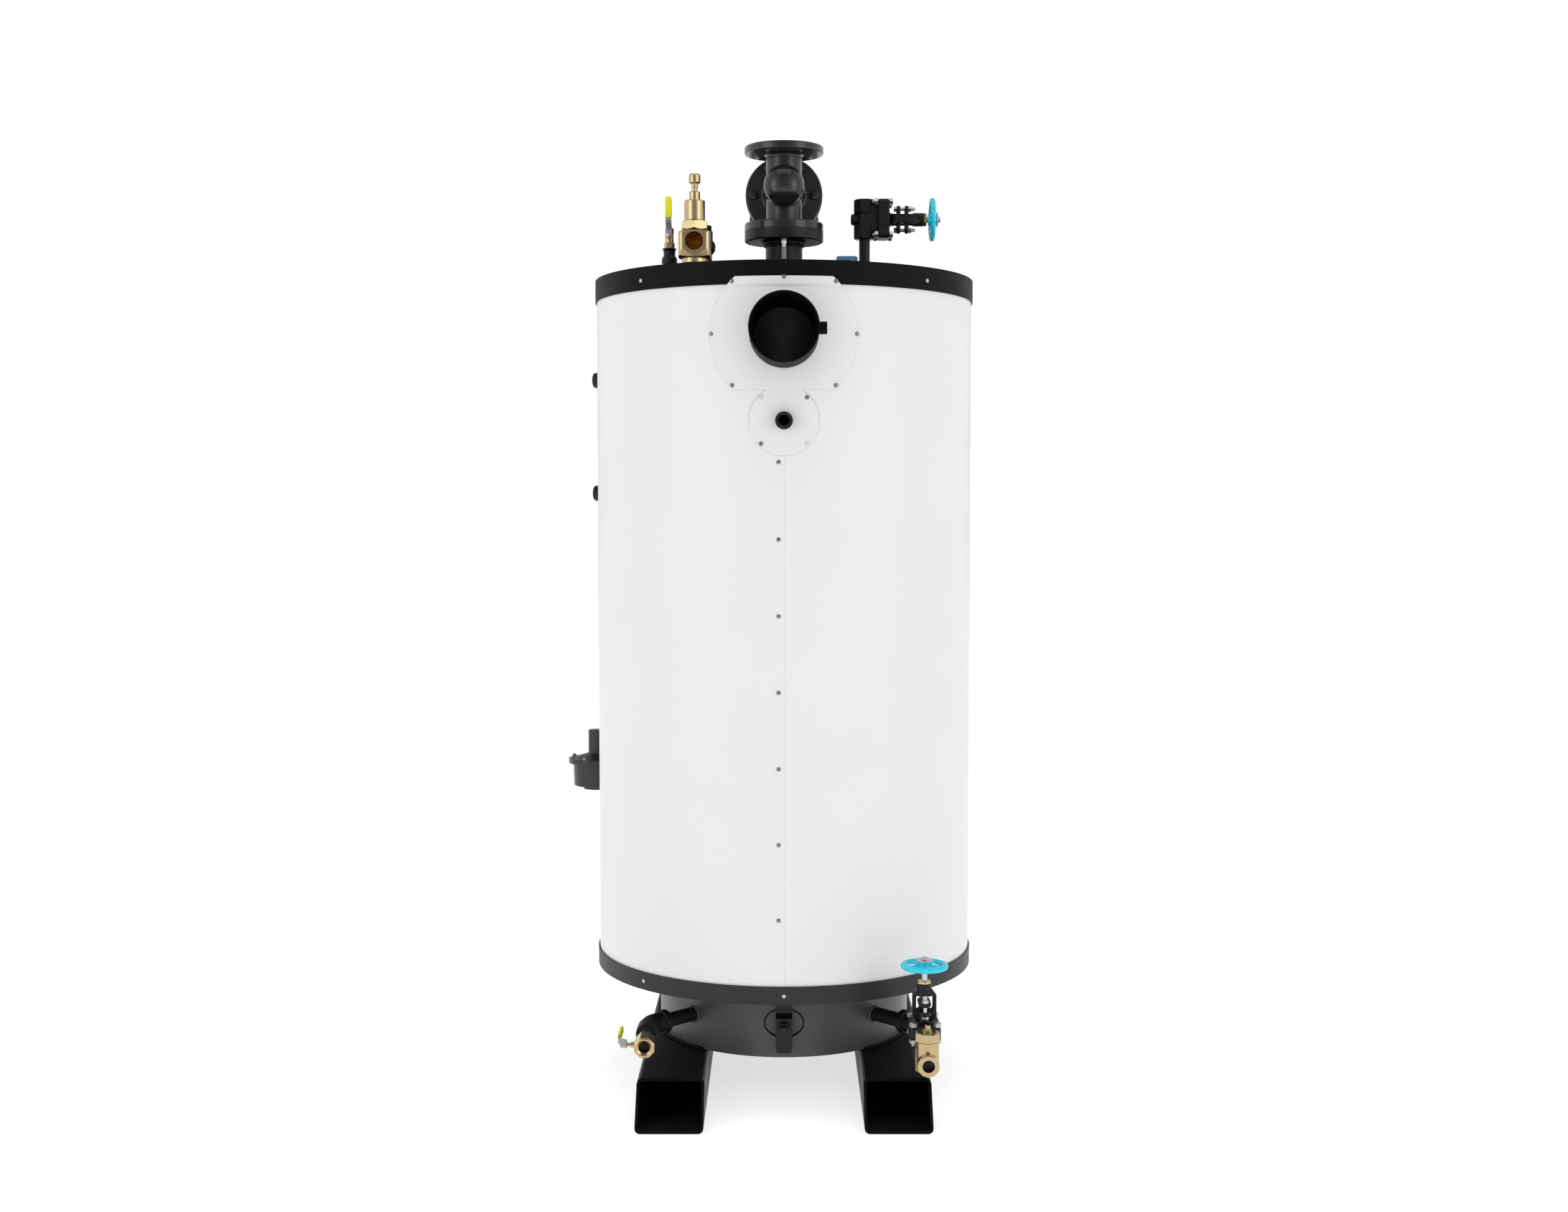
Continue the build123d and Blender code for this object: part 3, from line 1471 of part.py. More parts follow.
# Gas regulator: nipple into the jacket, cast body, diaphragm casing and spring tower
gas_way = bearing_direction(regulator_bearing)
gas_line = Plane((0, 0, regulator_inlet_z), x_dir=up, z_dir=gas_way)
build_pipe(
    gas_line,
    regulator_distance - regulator_port_reach,
    one_inch_radius,
    one_inch_bore,
    "gas_nipple",
    vessel_radius,
)

regulator_axis = Plane(gas_way * regulator_distance)
with BuildPart() as regulator_body:
    regulator_foot = regulator_body_low - regulator_foot_height
    cover_seam = regulator_body_top + casing_edge
    regulator_side = Plane(regulator_axis.origin, x_dir=(1, 0, 0), z_dir=(0, -1, 0))
    with BuildSketch(regulator_side) as casting:
        with BuildLine():
            Polyline(
                (0, regulator_foot),
                (regulator_foot_radius, regulator_foot),
                (regulator_foot_radius, regulator_body_low),
                (regulator_body_radius - regulator_body_draft, regulator_body_low),
                (regulator_body_radius, regulator_body_top),
                (casing_radius, regulator_body_top),
                (casing_radius, cover_seam),
                (0, cover_seam),
                close=True,
            )
        make_face()
        tiers = casting.vertices().group_by(Axis.Y)
        fillet([tiers[1].sort_by(Axis.X)[-1], tiers[2].sort_by(Axis.X)[-1]], regulator_round)
    revolve(axis=Axis(regulator_axis.origin, up))
    with BuildSketch(gas_line.offset(regulator_distance - regulator_port_reach)):
        RegularPolygon(regulator_port_flats / 2, 8, major_radius=False, rotation=octagon_turn)
    extrude(amount=regulator_port_reach)
    with BuildSketch(regulator_axis.offset(regulator_foot)):
        Circle(regulator_inlet_bore)
    extrude(amount=regulator_inlet_depth, mode=Mode.SUBTRACT)
keep(regulator_body.part, "regulator_body")

with BuildPart() as regulator_cover:
    casing_top = cover_seam + casing_edge
    with BuildSketch(regulator_side) as lid:
        with BuildLine():
            Polyline(
                (0, cover_seam),
                (casing_radius, cover_seam),
                (casing_radius, casing_top),
                (casing_dome_radius, casing_top),
                (tower_radius, casing_top + casing_dome),
                (tower_radius, tower_top),
                (0, tower_top),
                close=True,
            )
        make_face()
        fillet(lid.vertices().group_by(Axis.Y)[2], tower_foot_fillet)
        tiers = lid.vertices().group_by(Axis.Y)
        fillet([tiers[1].sort_by(Axis.X)[-1], tiers[-1].sort_by(Axis.X)[-1]], regulator_round)
    revolve(axis=Axis(regulator_axis.origin, up))
keep(regulator_cover.part, "regulator_cover")
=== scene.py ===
import json
import math

import bmesh
import bpy
from mathutils import Matrix, Vector


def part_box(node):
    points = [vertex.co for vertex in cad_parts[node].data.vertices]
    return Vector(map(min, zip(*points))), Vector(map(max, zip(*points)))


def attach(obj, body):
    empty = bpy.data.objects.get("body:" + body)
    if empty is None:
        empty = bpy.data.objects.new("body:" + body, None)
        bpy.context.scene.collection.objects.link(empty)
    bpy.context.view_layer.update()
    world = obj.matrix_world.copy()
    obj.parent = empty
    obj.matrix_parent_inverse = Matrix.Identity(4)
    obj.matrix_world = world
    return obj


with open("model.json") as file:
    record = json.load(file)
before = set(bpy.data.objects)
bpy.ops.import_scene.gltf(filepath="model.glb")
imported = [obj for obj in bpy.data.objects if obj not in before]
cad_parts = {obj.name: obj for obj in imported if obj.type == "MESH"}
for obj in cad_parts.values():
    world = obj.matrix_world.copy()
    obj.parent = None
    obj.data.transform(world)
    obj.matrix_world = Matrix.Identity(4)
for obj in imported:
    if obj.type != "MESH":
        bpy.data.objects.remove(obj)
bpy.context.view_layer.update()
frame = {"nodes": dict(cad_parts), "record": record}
nodes = frame["nodes"]
print("frame loaded:", len(nodes), "nodes")


# Small helpers for shader trees

def put(tree, kind, inputs=None, **settings):
    made = tree.nodes.new(kind)
    for key, value in settings.items():
        setattr(made, key, value)
    for key, value in (inputs or {}).items():
        if isinstance(value, bpy.types.NodeSocket):
            tree.links.new(value, made.inputs[key])
        else:
            made.inputs[key].default_value = value
    return made


def newGroup(name, inputs, outputs):
    tree = bpy.data.node_groups.new(name, "ShaderNodeTree")
    for label, value in inputs.items():
        socket = tree.interface.new_socket(label, in_out="INPUT", socket_type="NodeSocketFloat")
        socket.default_value = value
    for label, kind in outputs.items():
        tree.interface.new_socket(label, in_out="OUTPUT", socket_type="NodeSocket" + kind)
    return tree, tree.nodes.new("NodeGroupInput").outputs, tree.nodes.new("NodeGroupOutput").inputs


def mathNode(tree, operation, a, b):
    return put(tree, "ShaderNodeMath", {0: a, 1: b}, operation=operation).outputs[0]


def ramp(tree, value, low, high, bottom=0.0, top=1.0):
    span = {"Value": value, "From Min": low, "From Max": high, "To Min": bottom, "To Max": top}
    return put(tree, "ShaderNodeMapRange", span).outputs["Result"]


# Effects shared by several finishes

def makeEdgeRub():
    outputs = {"Mask": "Float", "Normal": "Vector"}
    tree, given, result = newGroup("edgeRub", {"Radius": 0.001, "Patchiness": 0.5}, outputs)
    rounded = put(tree, "ShaderNodeBevel", {"Radius": given["Radius"]}, samples=4)
    surface = put(tree, "ShaderNodeNewGeometry")
    normals = {0: rounded.outputs[0], 1: surface.outputs["Normal"]}
    turned = put(tree, "ShaderNodeVectorMath", normals, operation="DOT_PRODUCT")
    edge = ramp(tree, turned.outputs["Value"], 0.995, 0.86)
    place = put(tree, "ShaderNodeTexCoord").outputs["Object"]
    patches = put(tree, "ShaderNodeTexNoise", {"Vector": place, "Scale": 140.0, "Detail": 4.0})
    worn = mathNode(tree, "MULTIPLY", given["Patchiness"], 0.2)
    kept = ramp(tree, mathNode(tree, "SUBTRACT", patches.outputs["Fac"], worn), 0.4, 0.6)
    tree.links.new(mathNode(tree, "MULTIPLY", edge, kept), result["Mask"])
    tree.links.new(rounded.outputs[0], result["Normal"])
    return tree


def makePaintSkin():
    tree, given, result = newGroup("paintSkin", {"Scale": 500.0}, {"Height": "Float", "Mottle": "Float"})
    place = put(tree, "ShaderNodeTexCoord").outputs["Object"]
    peel = put(tree, "ShaderNodeTexNoise", {"Vector": place, "Scale": given["Scale"], "Detail": 1.5})
    cloud = put(tree, "ShaderNodeTexNoise", {"Vector": place, "Scale": 5.0, "Detail": 5.0, "Roughness": 0.6})
    tree.links.new(peel.outputs["Fac"], result["Height"])
    tree.links.new(ramp(tree, cloud.outputs["Fac"], 0.3, 0.7), result["Mottle"])
    return tree


def makeCastSkin():
    tree, given, result = newGroup("castSkin", {"Scale": 700.0}, {"Height": "Float", "Mottle": "Float"})
    place = put(tree, "ShaderNodeTexCoord").outputs["Object"]
    cells = {"Vector": place, "Scale": given["Scale"]}
    grains = put(tree, "ShaderNodeTexVoronoi", cells, feature="SMOOTH_F1")
    lumps = put(tree, "ShaderNodeTexNoise", {"Vector": place, "Scale": 90.0, "Detail": 4.0})
    height = mathNode(tree, "MULTIPLY", grains.outputs["Distance"], 0.6)
    tree.links.new(mathNode(tree, "ADD", height, lumps.outputs["Fac"]), result["Height"])
    tree.links.new(ramp(tree, lumps.outputs["Fac"], 0.35, 0.65), result["Mottle"])
    return tree


def makeDustFilm():
    tree, given, result = newGroup("dustFilm", {"Reach": 0.4}, {"Mask": "Float"})
    surface = put(tree, "ShaderNodeNewGeometry")
    upward = put(tree, "ShaderNodeSeparateXYZ", {0: surface.outputs["Normal"]}).outputs["Z"]
    place = put(tree, "ShaderNodeTexCoord").outputs["Object"]
    cloud = {"Vector": place, "Scale": 11.0, "Detail": 6.0, "Roughness": 0.65}
    drift = put(tree, "ShaderNodeTexNoise", cloud)
    settled = ramp(tree, drift.outputs["Fac"], 0.35, 0.75)
    film = mathNode(tree, "MULTIPLY", ramp(tree, upward, 0.3, 1.0), settled)
    tree.links.new(mathNode(tree, "MULTIPLY", film, given["Reach"]), result["Mask"])
    return tree


def makeTurnedMarks():
    outputs = {"Height": "Float", "Streak": "Float"}
    tree, given, result = newGroup("turnedMarks", {"Along": 60.0, "Across": 1800.0}, outputs)
    place = put(tree, "ShaderNodeTexCoord").outputs["Object"]
    scale = put(tree, "ShaderNodeCombineXYZ", {0: given["Along"], 1: given["Along"], 2: given["Across"]})
    stretched = put(tree, "ShaderNodeVectorMath", {0: place, 1: scale.outputs[0]}, operation="MULTIPLY")
    lines = put(tree, "ShaderNodeTexNoise", {"Vector": stretched.outputs[0], "Scale": 1.0, "Detail": 3.0})
    tree.links.new(lines.outputs["Fac"], result["Height"])
    tree.links.new(ramp(tree, lines.outputs["Fac"], 0.35, 0.65), result["Streak"])
    return tree


# Painted shade: ambient occlusion darkens the colour toward near-black in hollows, creases and tube insides
def makeHollowShade():
    tree, given, result = newGroup("hollowShade", {"Reach": 0.1}, {"Open": "Float"})
    around = put(tree, "ShaderNodeAmbientOcclusion", {"Distance": given["Reach"]}, samples=6)
    tree.links.new(ramp(tree, around.outputs["AO"], 0.2, 0.7, 0.08, 1.0), result["Open"])
    return tree


groups = {
    "edgeRub": makeEdgeRub(),
    "paintSkin": makePaintSkin(),
    "castSkin": makeCastSkin(),
    "dustFilm": makeDustFilm(),
    "turnedMarks": makeTurnedMarks(),
    "hollowShade": makeHollowShade(),
}
print("shader groups:", len(groups))


# Finishes

# The last entry of each paint look is how far the painted hollow shade reaches
paintLooks = {
    "jacketWhite": {
        "base": (0.75, 0.75, 0.75), "shade": (0.735, 0.736, 0.738),
        "rough": (0.34, 0.42), "specular": 0.35, "skin": "paintSkin", "scale": 420.0, "depth": 0.00006,
        "edge": 0.0006, "rub": (0.62, 0.62, 0.62), "patch": 1.0, "dust": 0.0, "paintedHollowShade": 0.0,
    },
    "trimBlack": {
        "base": (0.016, 0.016, 0.0165), "shade": (0.021, 0.021, 0.0215),
        "rough": (0.42, 0.55), "specular": 0.3, "skin": "paintSkin", "scale": 900.0, "depth": 0.0001,
        "edge": 0.0008, "rub": (0.03, 0.03, 0.03), "patch": 0.6, "dust": 0.05, "paintedHollowShade": 0.0,
    },
    "vesselBlack": {
        "base": (0.056, 0.056, 0.056), "shade": (0.066, 0.066, 0.066),
        "rough": (0.3, 0.42), "specular": 0.45, "skin": "paintSkin", "scale": 260.0, "depth": 0.00012,
        "edge": 0.001, "rub": (0.05, 0.05, 0.05), "patch": 0.5, "dust": 0.04, "paintedHollowShade": 0.0,
    },
    # Darker, duller copy of the trim black for the top cover: painted shade
    "shadedCoverBlack": {
        "base": (0.003, 0.003, 0.003), "shade": (0.0045, 0.0045, 0.0045),
        "rough": (0.44, 0.56), "specular": 0.07, "skin": "paintSkin", "scale": 900.0, "depth": 0.00008,
        "edge": 0.0008, "rub": (0.02, 0.02, 0.02), "patch": 0.6, "dust": 0.03, "paintedHollowShade": 0.0,
    },
    # Darker, duller copy of the pipe black for the flue outlet: painted shade
    "shadedFlueBlack": {
        "base": (0.003, 0.003, 0.003), "shade": (0.005, 0.005, 0.005),
        "rough": (0.5, 0.62), "specular": 0.05, "skin": "paintSkin", "scale": 600.0, "depth": 0.00008,
        "edge": 0.0007, "rub": (0.02, 0.02, 0.02), "patch": 0.5, "dust": 0.03, "paintedHollowShade": 0.06,
    },
    "yokeBlack": {
        "base": (0.006, 0.006, 0.006), "shade": (0.01, 0.01, 0.01),
        "rough": (0.28, 0.4), "specular": 0.25, "skin": "paintSkin", "scale": 300.0, "depth": 0.00006,
        "edge": 0.0015, "rub": (0.03, 0.03, 0.03), "patch": 0.3, "dust": 0.0, "paintedHollowShade": 0.0,
    },
    "plateWhite": {
        "base": (0.75, 0.75, 0.75), "shade": (0.735, 0.736, 0.738),
        "rough": (0.34, 0.42), "specular": 0.35, "skin": "paintSkin", "scale": 420.0, "depth": 0.00005,
        "edge": 0.0016, "rub": (0.42, 0.42, 0.42), "patch": -1.0, "dust": 0.0, "paintedHollowShade": 0.0,
    },
    "skidBlack": {
        "base": (0.002, 0.002, 0.002), "shade": (0.003, 0.003, 0.003),
        "rough": (0.34, 0.46), "specular": 0.08, "skin": "paintSkin", "scale": 300.0, "depth": 0.0001,
        "edge": 0.0015, "rub": (0.03, 0.03, 0.03), "patch": 0.4, "dust": 0.05, "paintedHollowShade": 0.14,
    },
    "pipeBlack": {
        "base": (0.004, 0.004, 0.004), "shade": (0.009, 0.009, 0.0092),
        "rough": (0.34, 0.5), "specular": 0.25, "skin": "paintSkin", "scale": 600.0, "depth": 0.00012,
        "edge": 0.0007, "rub": (0.035, 0.034, 0.033), "patch": 0.5, "dust": 0.04, "paintedHollowShade": 0.03,
    },
    "ironBlack": {
        "base": (0.013, 0.013, 0.013), "shade": (0.016, 0.016, 0.016),
        "rough": (0.12, 0.2), "specular": 0.45, "skin": "paintSkin", "scale": 300.0, "depth": 0.00003,
        "edge": 0.0015, "rub": (0.02, 0.02, 0.02), "patch": 0.7, "dust": 0.03, "paintedHollowShade": 0.05,
    },
    "forgedBlack": {
        "base": (0.005, 0.005, 0.005), "shade": (0.01, 0.01, 0.0102),
        "rough": (0.32, 0.48), "specular": 0.25, "skin": "castSkin", "scale": 900.0, "depth": 0.00012,
        "edge": 0.001, "rub": (0.04, 0.04, 0.04), "patch": 0.5, "dust": 0.04, "paintedHollowShade": 0.02,
    },
    "wheelBlue": {
        "base": (0.022, 0.61, 0.79), "shade": (0.016, 0.55, 0.73),
        "rough": (0.26, 0.36), "specular": 0.4, "skin": "paintSkin", "scale": 500.0, "depth": 0.0001,
        "edge": 0.0008, "rub": (0.1, 0.66, 0.86), "patch": 0.8, "dust": 0.0, "paintedHollowShade": 0.0,
    },
    "lugBlue": {
        "base": (0.11, 0.22, 0.38), "shade": (0.09, 0.19, 0.34),
        "rough": (0.38, 0.5), "specular": 0.4, "skin": "paintSkin", "scale": 500.0, "depth": 0.0001,
        "edge": 0.001, "rub": (0.16, 0.26, 0.4), "patch": 0.6, "dust": 0.03, "paintedHollowShade": 0.0,
    },
    "leverZinc": {
        "base": (0.33, 0.33, 0.345), "shade": (0.28, 0.28, 0.295),
        "rough": (0.24, 0.34), "specular": 0.6, "skin": "paintSkin", "scale": 900.0, "depth": 0.00003,
        "edge": 0.0005, "rub": (0.5, 0.5, 0.51), "patch": 0.6, "dust": 0.0, "paintedHollowShade": 0.0,
    },
    # Near-black brown inside the drain and feed bores: painted shade
    "paintedBoreShade": {
        "base": (0.012, 0.008, 0.005), "shade": (0.022, 0.015, 0.008),
        "rough": (0.3, 0.42), "specular": 0.3, "skin": "paintSkin", "scale": 900.0, "depth": 0.00003,
        "edge": 0.0003, "rub": (0.05, 0.035, 0.02), "patch": 0.6, "dust": 0.0, "paintedHollowShade": 0.0,
    },
    "gripYellow": {
        "base": (0.86, 0.84, 0.008), "shade": (0.8, 0.78, 0.006),
        "rough": (0.38, 0.46), "specular": 0.4, "skin": "paintSkin", "scale": 700.0, "depth": 0.00005,
        "edge": 0.001, "rub": (0.87, 0.86, 0.1), "patch": 1.0, "dust": 0.0, "paintedHollowShade": 0.0,
    },
}
dustColour = (0.2, 0.195, 0.185, 1.0)
# Near-black colour painted into hollows as shade
hollowShadeColour = (0.001, 0.001, 0.001, 1.0)

metalLooks = {
    "brassCast": {
        "base": (0.5, 0.39, 0.22), "shade": (0.45, 0.345, 0.185),
        "rough": (0.19, 0.28), "along": 90.0, "across": 700.0, "depth": 0.00002,
        "edge": 0.0008, "rub": (0.74, 0.62, 0.4), "patch": 0.3,
    },
    # Darkened brass inside the safety outlet: painted shade
    "brassBoreShade": {
        "base": (0.4, 0.23, 0.06), "shade": (0.34, 0.18, 0.04),
        "rough": (0.2, 0.3), "along": 90.0, "across": 700.0, "depth": 0.00002,
        "edge": 0.0004, "rub": (0.6, 0.36, 0.1), "patch": 0.6,
    },
    "steelBright": {
        "base": (0.56, 0.565, 0.58), "shade": (0.44, 0.445, 0.455),
        "rough": (0.22, 0.34), "along": 120.0, "across": 1500.0, "depth": 0.00004,
        "edge": 0.0005, "rub": (0.7, 0.7, 0.72), "patch": 0.3,
    },
    "boltZinc": {
        "base": (0.62, 0.62, 0.61), "shade": (0.5, 0.5, 0.5),
        "rough": (0.3, 0.44), "along": 400.0, "across": 400.0, "depth": 0.00005,
        "edge": 0.0004, "rub": (0.76, 0.76, 0.76), "patch": 0.3,
    },
    "screwSteel": {
        "base": (0.3, 0.3, 0.31), "shade": (0.2, 0.2, 0.21),
        "rough": (0.26, 0.4), "along": 300.0, "across": 300.0, "depth": 0.00004,
        "edge": 0.0004, "rub": (0.6, 0.6, 0.6), "patch": 0.3,
    },
}


def startMaterial(name):
    material = bpy.data.materials.new(name)
    material.use_nodes = True
    tree = material.node_tree
    return material, tree, tree.nodes["Principled BSDF"]


def placeGroup(tree, name, **values):
    made = put(tree, "ShaderNodeGroup", node_tree=groups[name])
    for key, value in values.items():
        made.inputs[key.title()].default_value = value
    return made.outputs


def mixColour(tree, factor, a, b):
    return put(tree, "ShaderNodeMix", {0: factor, 6: a, 7: b}, data_type="RGBA").outputs[2]


def opaque(colour):
    return (*colour, 1.0)


def wireSurface(tree, shader, colour, gloss, relief):
    bump = put(tree, "ShaderNodeBump", relief)
    tree.links.new(colour, shader.inputs["Base Color"])
    tree.links.new(gloss, shader.inputs["Roughness"])
    tree.links.new(bump.outputs[0], shader.inputs["Normal"])


def makePaint(name, look):
    material, tree, shader = startMaterial(name)
    skin = placeGroup(tree, look["skin"], scale=look["scale"])
    edge = placeGroup(tree, "edgeRub", radius=look["edge"], patchiness=look["patch"])
    colour = mixColour(tree, skin["Mottle"], opaque(look["base"]), opaque(look["shade"]))
    colour = mixColour(tree, edge["Mask"], colour, opaque(look["rub"]))
    gloss = ramp(tree, skin["Mottle"], 0.0, 1.0, *look["rough"])
    if look["dust"]:
        film = placeGroup(tree, "dustFilm", reach=look["dust"])
        colour = mixColour(tree, film["Mask"], colour, dustColour)
        gloss = mathNode(tree, "ADD", gloss, film["Mask"])
    # Painted shade in hollows: the colour turns near-black there and the surface turns rough
    if look["paintedHollowShade"]:
        paintedHollowShade = placeGroup(tree, "hollowShade", reach=look["paintedHollowShade"])
        colour = mixColour(tree, paintedHollowShade["Open"], hollowShadeColour, colour)
        gloss = mathNode(tree, "MAXIMUM", gloss, ramp(tree, paintedHollowShade["Open"], 0.0, 1.0, 0.95, 0.0))
    relief = {"Distance": look["depth"], "Height": skin["Height"], "Normal": edge["Normal"]}
    wireSurface(tree, shader, colour, gloss, relief)
    shader.inputs["Specular IOR Level"].default_value = look["specular"]
    return material


def makeMetal(name, look):
    material, tree, shader = startMaterial(name)
    marks = placeGroup(tree, "turnedMarks", along=look["along"], across=look["across"])
    edge = placeGroup(tree, "edgeRub", radius=look["edge"], patchiness=look["patch"])
    colour = mixColour(tree, marks["Streak"], opaque(look["base"]), opaque(look["shade"]))
    colour = mixColour(tree, edge["Mask"], colour, opaque(look["rub"]))
    gloss = ramp(tree, marks["Streak"], 0.0, 1.0, *look["rough"])
    relief = {"Distance": look["depth"], "Height": marks["Height"], "Normal": edge["Normal"]}
    wireSurface(tree, shader, colour, gloss, relief)
    shader.inputs["Metallic"].default_value = 1.0
    return material


finishes = {name: makePaint(name, look) for name, look in paintLooks.items()}
finishes.update({name: makeMetal(name, look) for name, look in metalLooks.items()})
slotFinish = {
    "jacket_white": "jacketWhite", "trim_black": "trimBlack", "vessel_black": "vesselBlack",
    "skid_black": "skidBlack", "pipe_black": "pipeBlack", "iron_black": "ironBlack",
    "forged_black": "forgedBlack", "brass": "brassCast", "steel": "steelBright",
    "wheel_blue": "wheelBlue", "grip_yellow": "gripYellow", "lug_blue": "lugBlue",
}
nodeFinish = {
    "top_cover": "shadedCoverBlack", "flue_outlet": "shadedFlueBlack", "flue_plate": "plateWhite",
    "handhole_yoke": "yokeBlack", "handhole_stud": "yokeBlack",
    "vent_lever": "leverZinc", "drain_lever": "leverZinc",
}
for part in frame["record"]["subparts"]:
    shell = nodes[part["node"]].data
    shell.materials.clear()
    finish = nodeFinish.get(part["node"], slotFinish[part["material_slot"]])
    shell.materials.append(finishes[finish])
print("finishes:", len(finishes))


# Mesh builders

def axisFrame(origin, axis, turn=0.0):
    facing = Vector(axis).normalized().to_track_quat("Z", "Y").to_matrix().to_4x4()
    return Matrix.Translation(origin) @ facing @ Matrix.Rotation(turn, 4, "Z")


def addRings(bm, place, rings, capStart=True, capEnd=True):
    made = [[bm.verts.new(place @ Vector(point)) for point in ring] for ring in rings]
    count = len(made[0])
    for low, high in zip(made, made[1:]):
        for index in range(count):
            after = (index + 1) % count
            bm.faces.new((low[index], low[after], high[after], high[index]))
    if capStart:
        bm.faces.new(list(reversed(made[0])))
    if capEnd:
        bm.faces.new(made[-1])


def circle(radius, height, steps):
    turns = [math.tau * step / steps for step in range(steps)]
    return [(radius * math.cos(turn), radius * math.sin(turn), height) for turn in turns]


def addLathe(bm, place, profile, steps=32):
    addRings(bm, place, [circle(radius, height, steps) for radius, height in profile])


def hexReach(turn, flats):
    sixth = math.tau / 6
    return flats / 2 / math.cos((turn + sixth / 2) % sixth - sixth / 2)


def addWasher(bm, place, radius, start, height, steps):
    edge = [(radius, start), (radius, start + height * 0.7), (radius * 0.95, start + height)]
    addLathe(bm, place, edge, steps)


def addHex(bm, place, flats, height, start=0.0, bothEnds=False):
    steps = 24
    chamfer = 0.5
    rim = flats / 2 * 0.96
    turns = [math.tau * step / steps for step in range(steps)]

    def ring(drop, towards):
        points = []
        for turn in turns:
            reach = hexReach(turn, flats)
            level = towards - drop * (reach - rim) * chamfer
            points.append((reach * math.cos(turn), reach * math.sin(turn), level))
        return points

    low = ring(-1.0 if bothEnds else 0.0, start)
    rings = [circle(rim, start, steps)] if bothEnds else []
    rings += [low, ring(1.0, start + height), circle(rim, start + height, steps)]
    addRings(bm, place, rings)


def addSlottedHead(bm, place, radius, height, slot):
    profile = [(1.0, 0.0), (1.0, 0.35), (0.93, 0.68), (0.78, 0.9), (0.55, 1.0)]
    steps = 14
    for side in (0.0, math.pi):
        turned = place @ Matrix.Rotation(side, 4, "Z")
        rings = []
        for share, rise in profile:
            reach = radius * share
            half = math.acos(slot / 2 / reach)
            arc = [-half + 2 * half * step / steps for step in range(steps + 1)]
            rings.append([(reach * math.cos(a), reach * math.sin(a), height * rise) for a in arc])
        addRings(bm, turned, rings)
    floor = [(radius * 0.96, 0.0), (radius * 0.96, height * 0.3)]
    addLathe(bm, place, floor, 28)


def addThread(bm, place, radius, start, length, pitch, steps=20):
    profile = []
    for turn in range(round(length / pitch)):
        base = start + turn * pitch
        profile += [(radius * 0.91, base), (radius, base + pitch * 0.35), (radius, base + pitch * 0.6)]
    profile += [(radius * 0.91, start + length), (radius * 0.8, start + length + pitch * 0.4)]
    addLathe(bm, place, profile, steps)


def addBead(bm, path, radius, ripple, closed):
    rings = []
    count = len(path)
    turns = [math.tau * step / 10 for step in range(10)]
    for index, (point, normal) in enumerate(path):
        before = path[index - 1][0] if closed or index else point
        after = path[(index + 1) % count][0] if closed or index + 1 < count else point
        along = (after - before).normalized()
        side = along.cross(normal).normalized()
        lift = side.cross(along)
        reach = radius * (1.0 + ripple * (index % 3 - 1))
        rings.append([point + reach * (math.cos(turn) * lift + math.sin(turn) * side) for turn in turns])
    if closed:
        rings.append(rings[0])
    addRings(bm, Matrix(), rings, not closed, not closed)


def finishPiece(bm, name, finish, body, smooth=38.0):
    bmesh.ops.recalc_face_normals(bm, faces=bm.faces)
    mesh = bpy.data.meshes.new(name)
    bm.to_mesh(mesh)
    bm.free()
    mesh.materials.append(finishes[finish])
    mesh.shade_smooth()
    mesh.set_sharp_from_angle(angle=math.radians(smooth))
    piece = bpy.data.objects.new(name, mesh)
    bpy.context.scene.collection.objects.link(piece)
    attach(piece, body)


def centreOf(node):
    low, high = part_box(node)
    return (low + high) / 2


print("mesh builders ready")


# Casing screws; a black seat disc under each head is painted shade in the slot and a thin shadow ring around
# the head

screws = {
    "radius": 0.0047, "height": 0.0026, "slot": 0.0018, "seat": 0.0049, "seatHeight": 0.0004,
    "rimCount": 8, "topDrop": 0.0314, "panRise": 0.0207,
    "seamArc": -0.012, "seamHeights": (0.4565, 0.6265, 0.7966, 0.9675, 1.1377, 1.3079, 1.4789),
    "flueArc": 0.162, "cornerArc": 0.115, "cornerRise": 0.114, "middleRise": 0.1225, "sightArc": 0.051,
    "sheet": 0.0018, "turn": 0.8, "turnStep": 1.3,
}
screwFinish = {
    "cover_screws": "boltZinc", "pan_screws": "boltZinc", "plate_screws": "screwSteel",
    "painted_screws": "jacketWhite", "seam_screws": "screwSteel",
}


def addCasingScrew(bm, shadeSeats, reach, bearing, height, turn):
    outward = Vector((-math.sin(bearing), -math.cos(bearing), 0.0))
    place = axisFrame(outward * reach + Vector((0.0, 0.0, height)), outward, turn)
    # Black seat disc: painted shade showing through the slot and as a ring around the head
    addLathe(shadeSeats, place, [(screws["seat"], 0.0), (screws["seat"] * 0.97, screws["seatHeight"])], 28)
    lifted = place @ Matrix.Translation((0.0, 0.0, screws["seatHeight"]))
    addSlottedHead(bm, lifted, screws["radius"], screws["height"], screws["slot"])


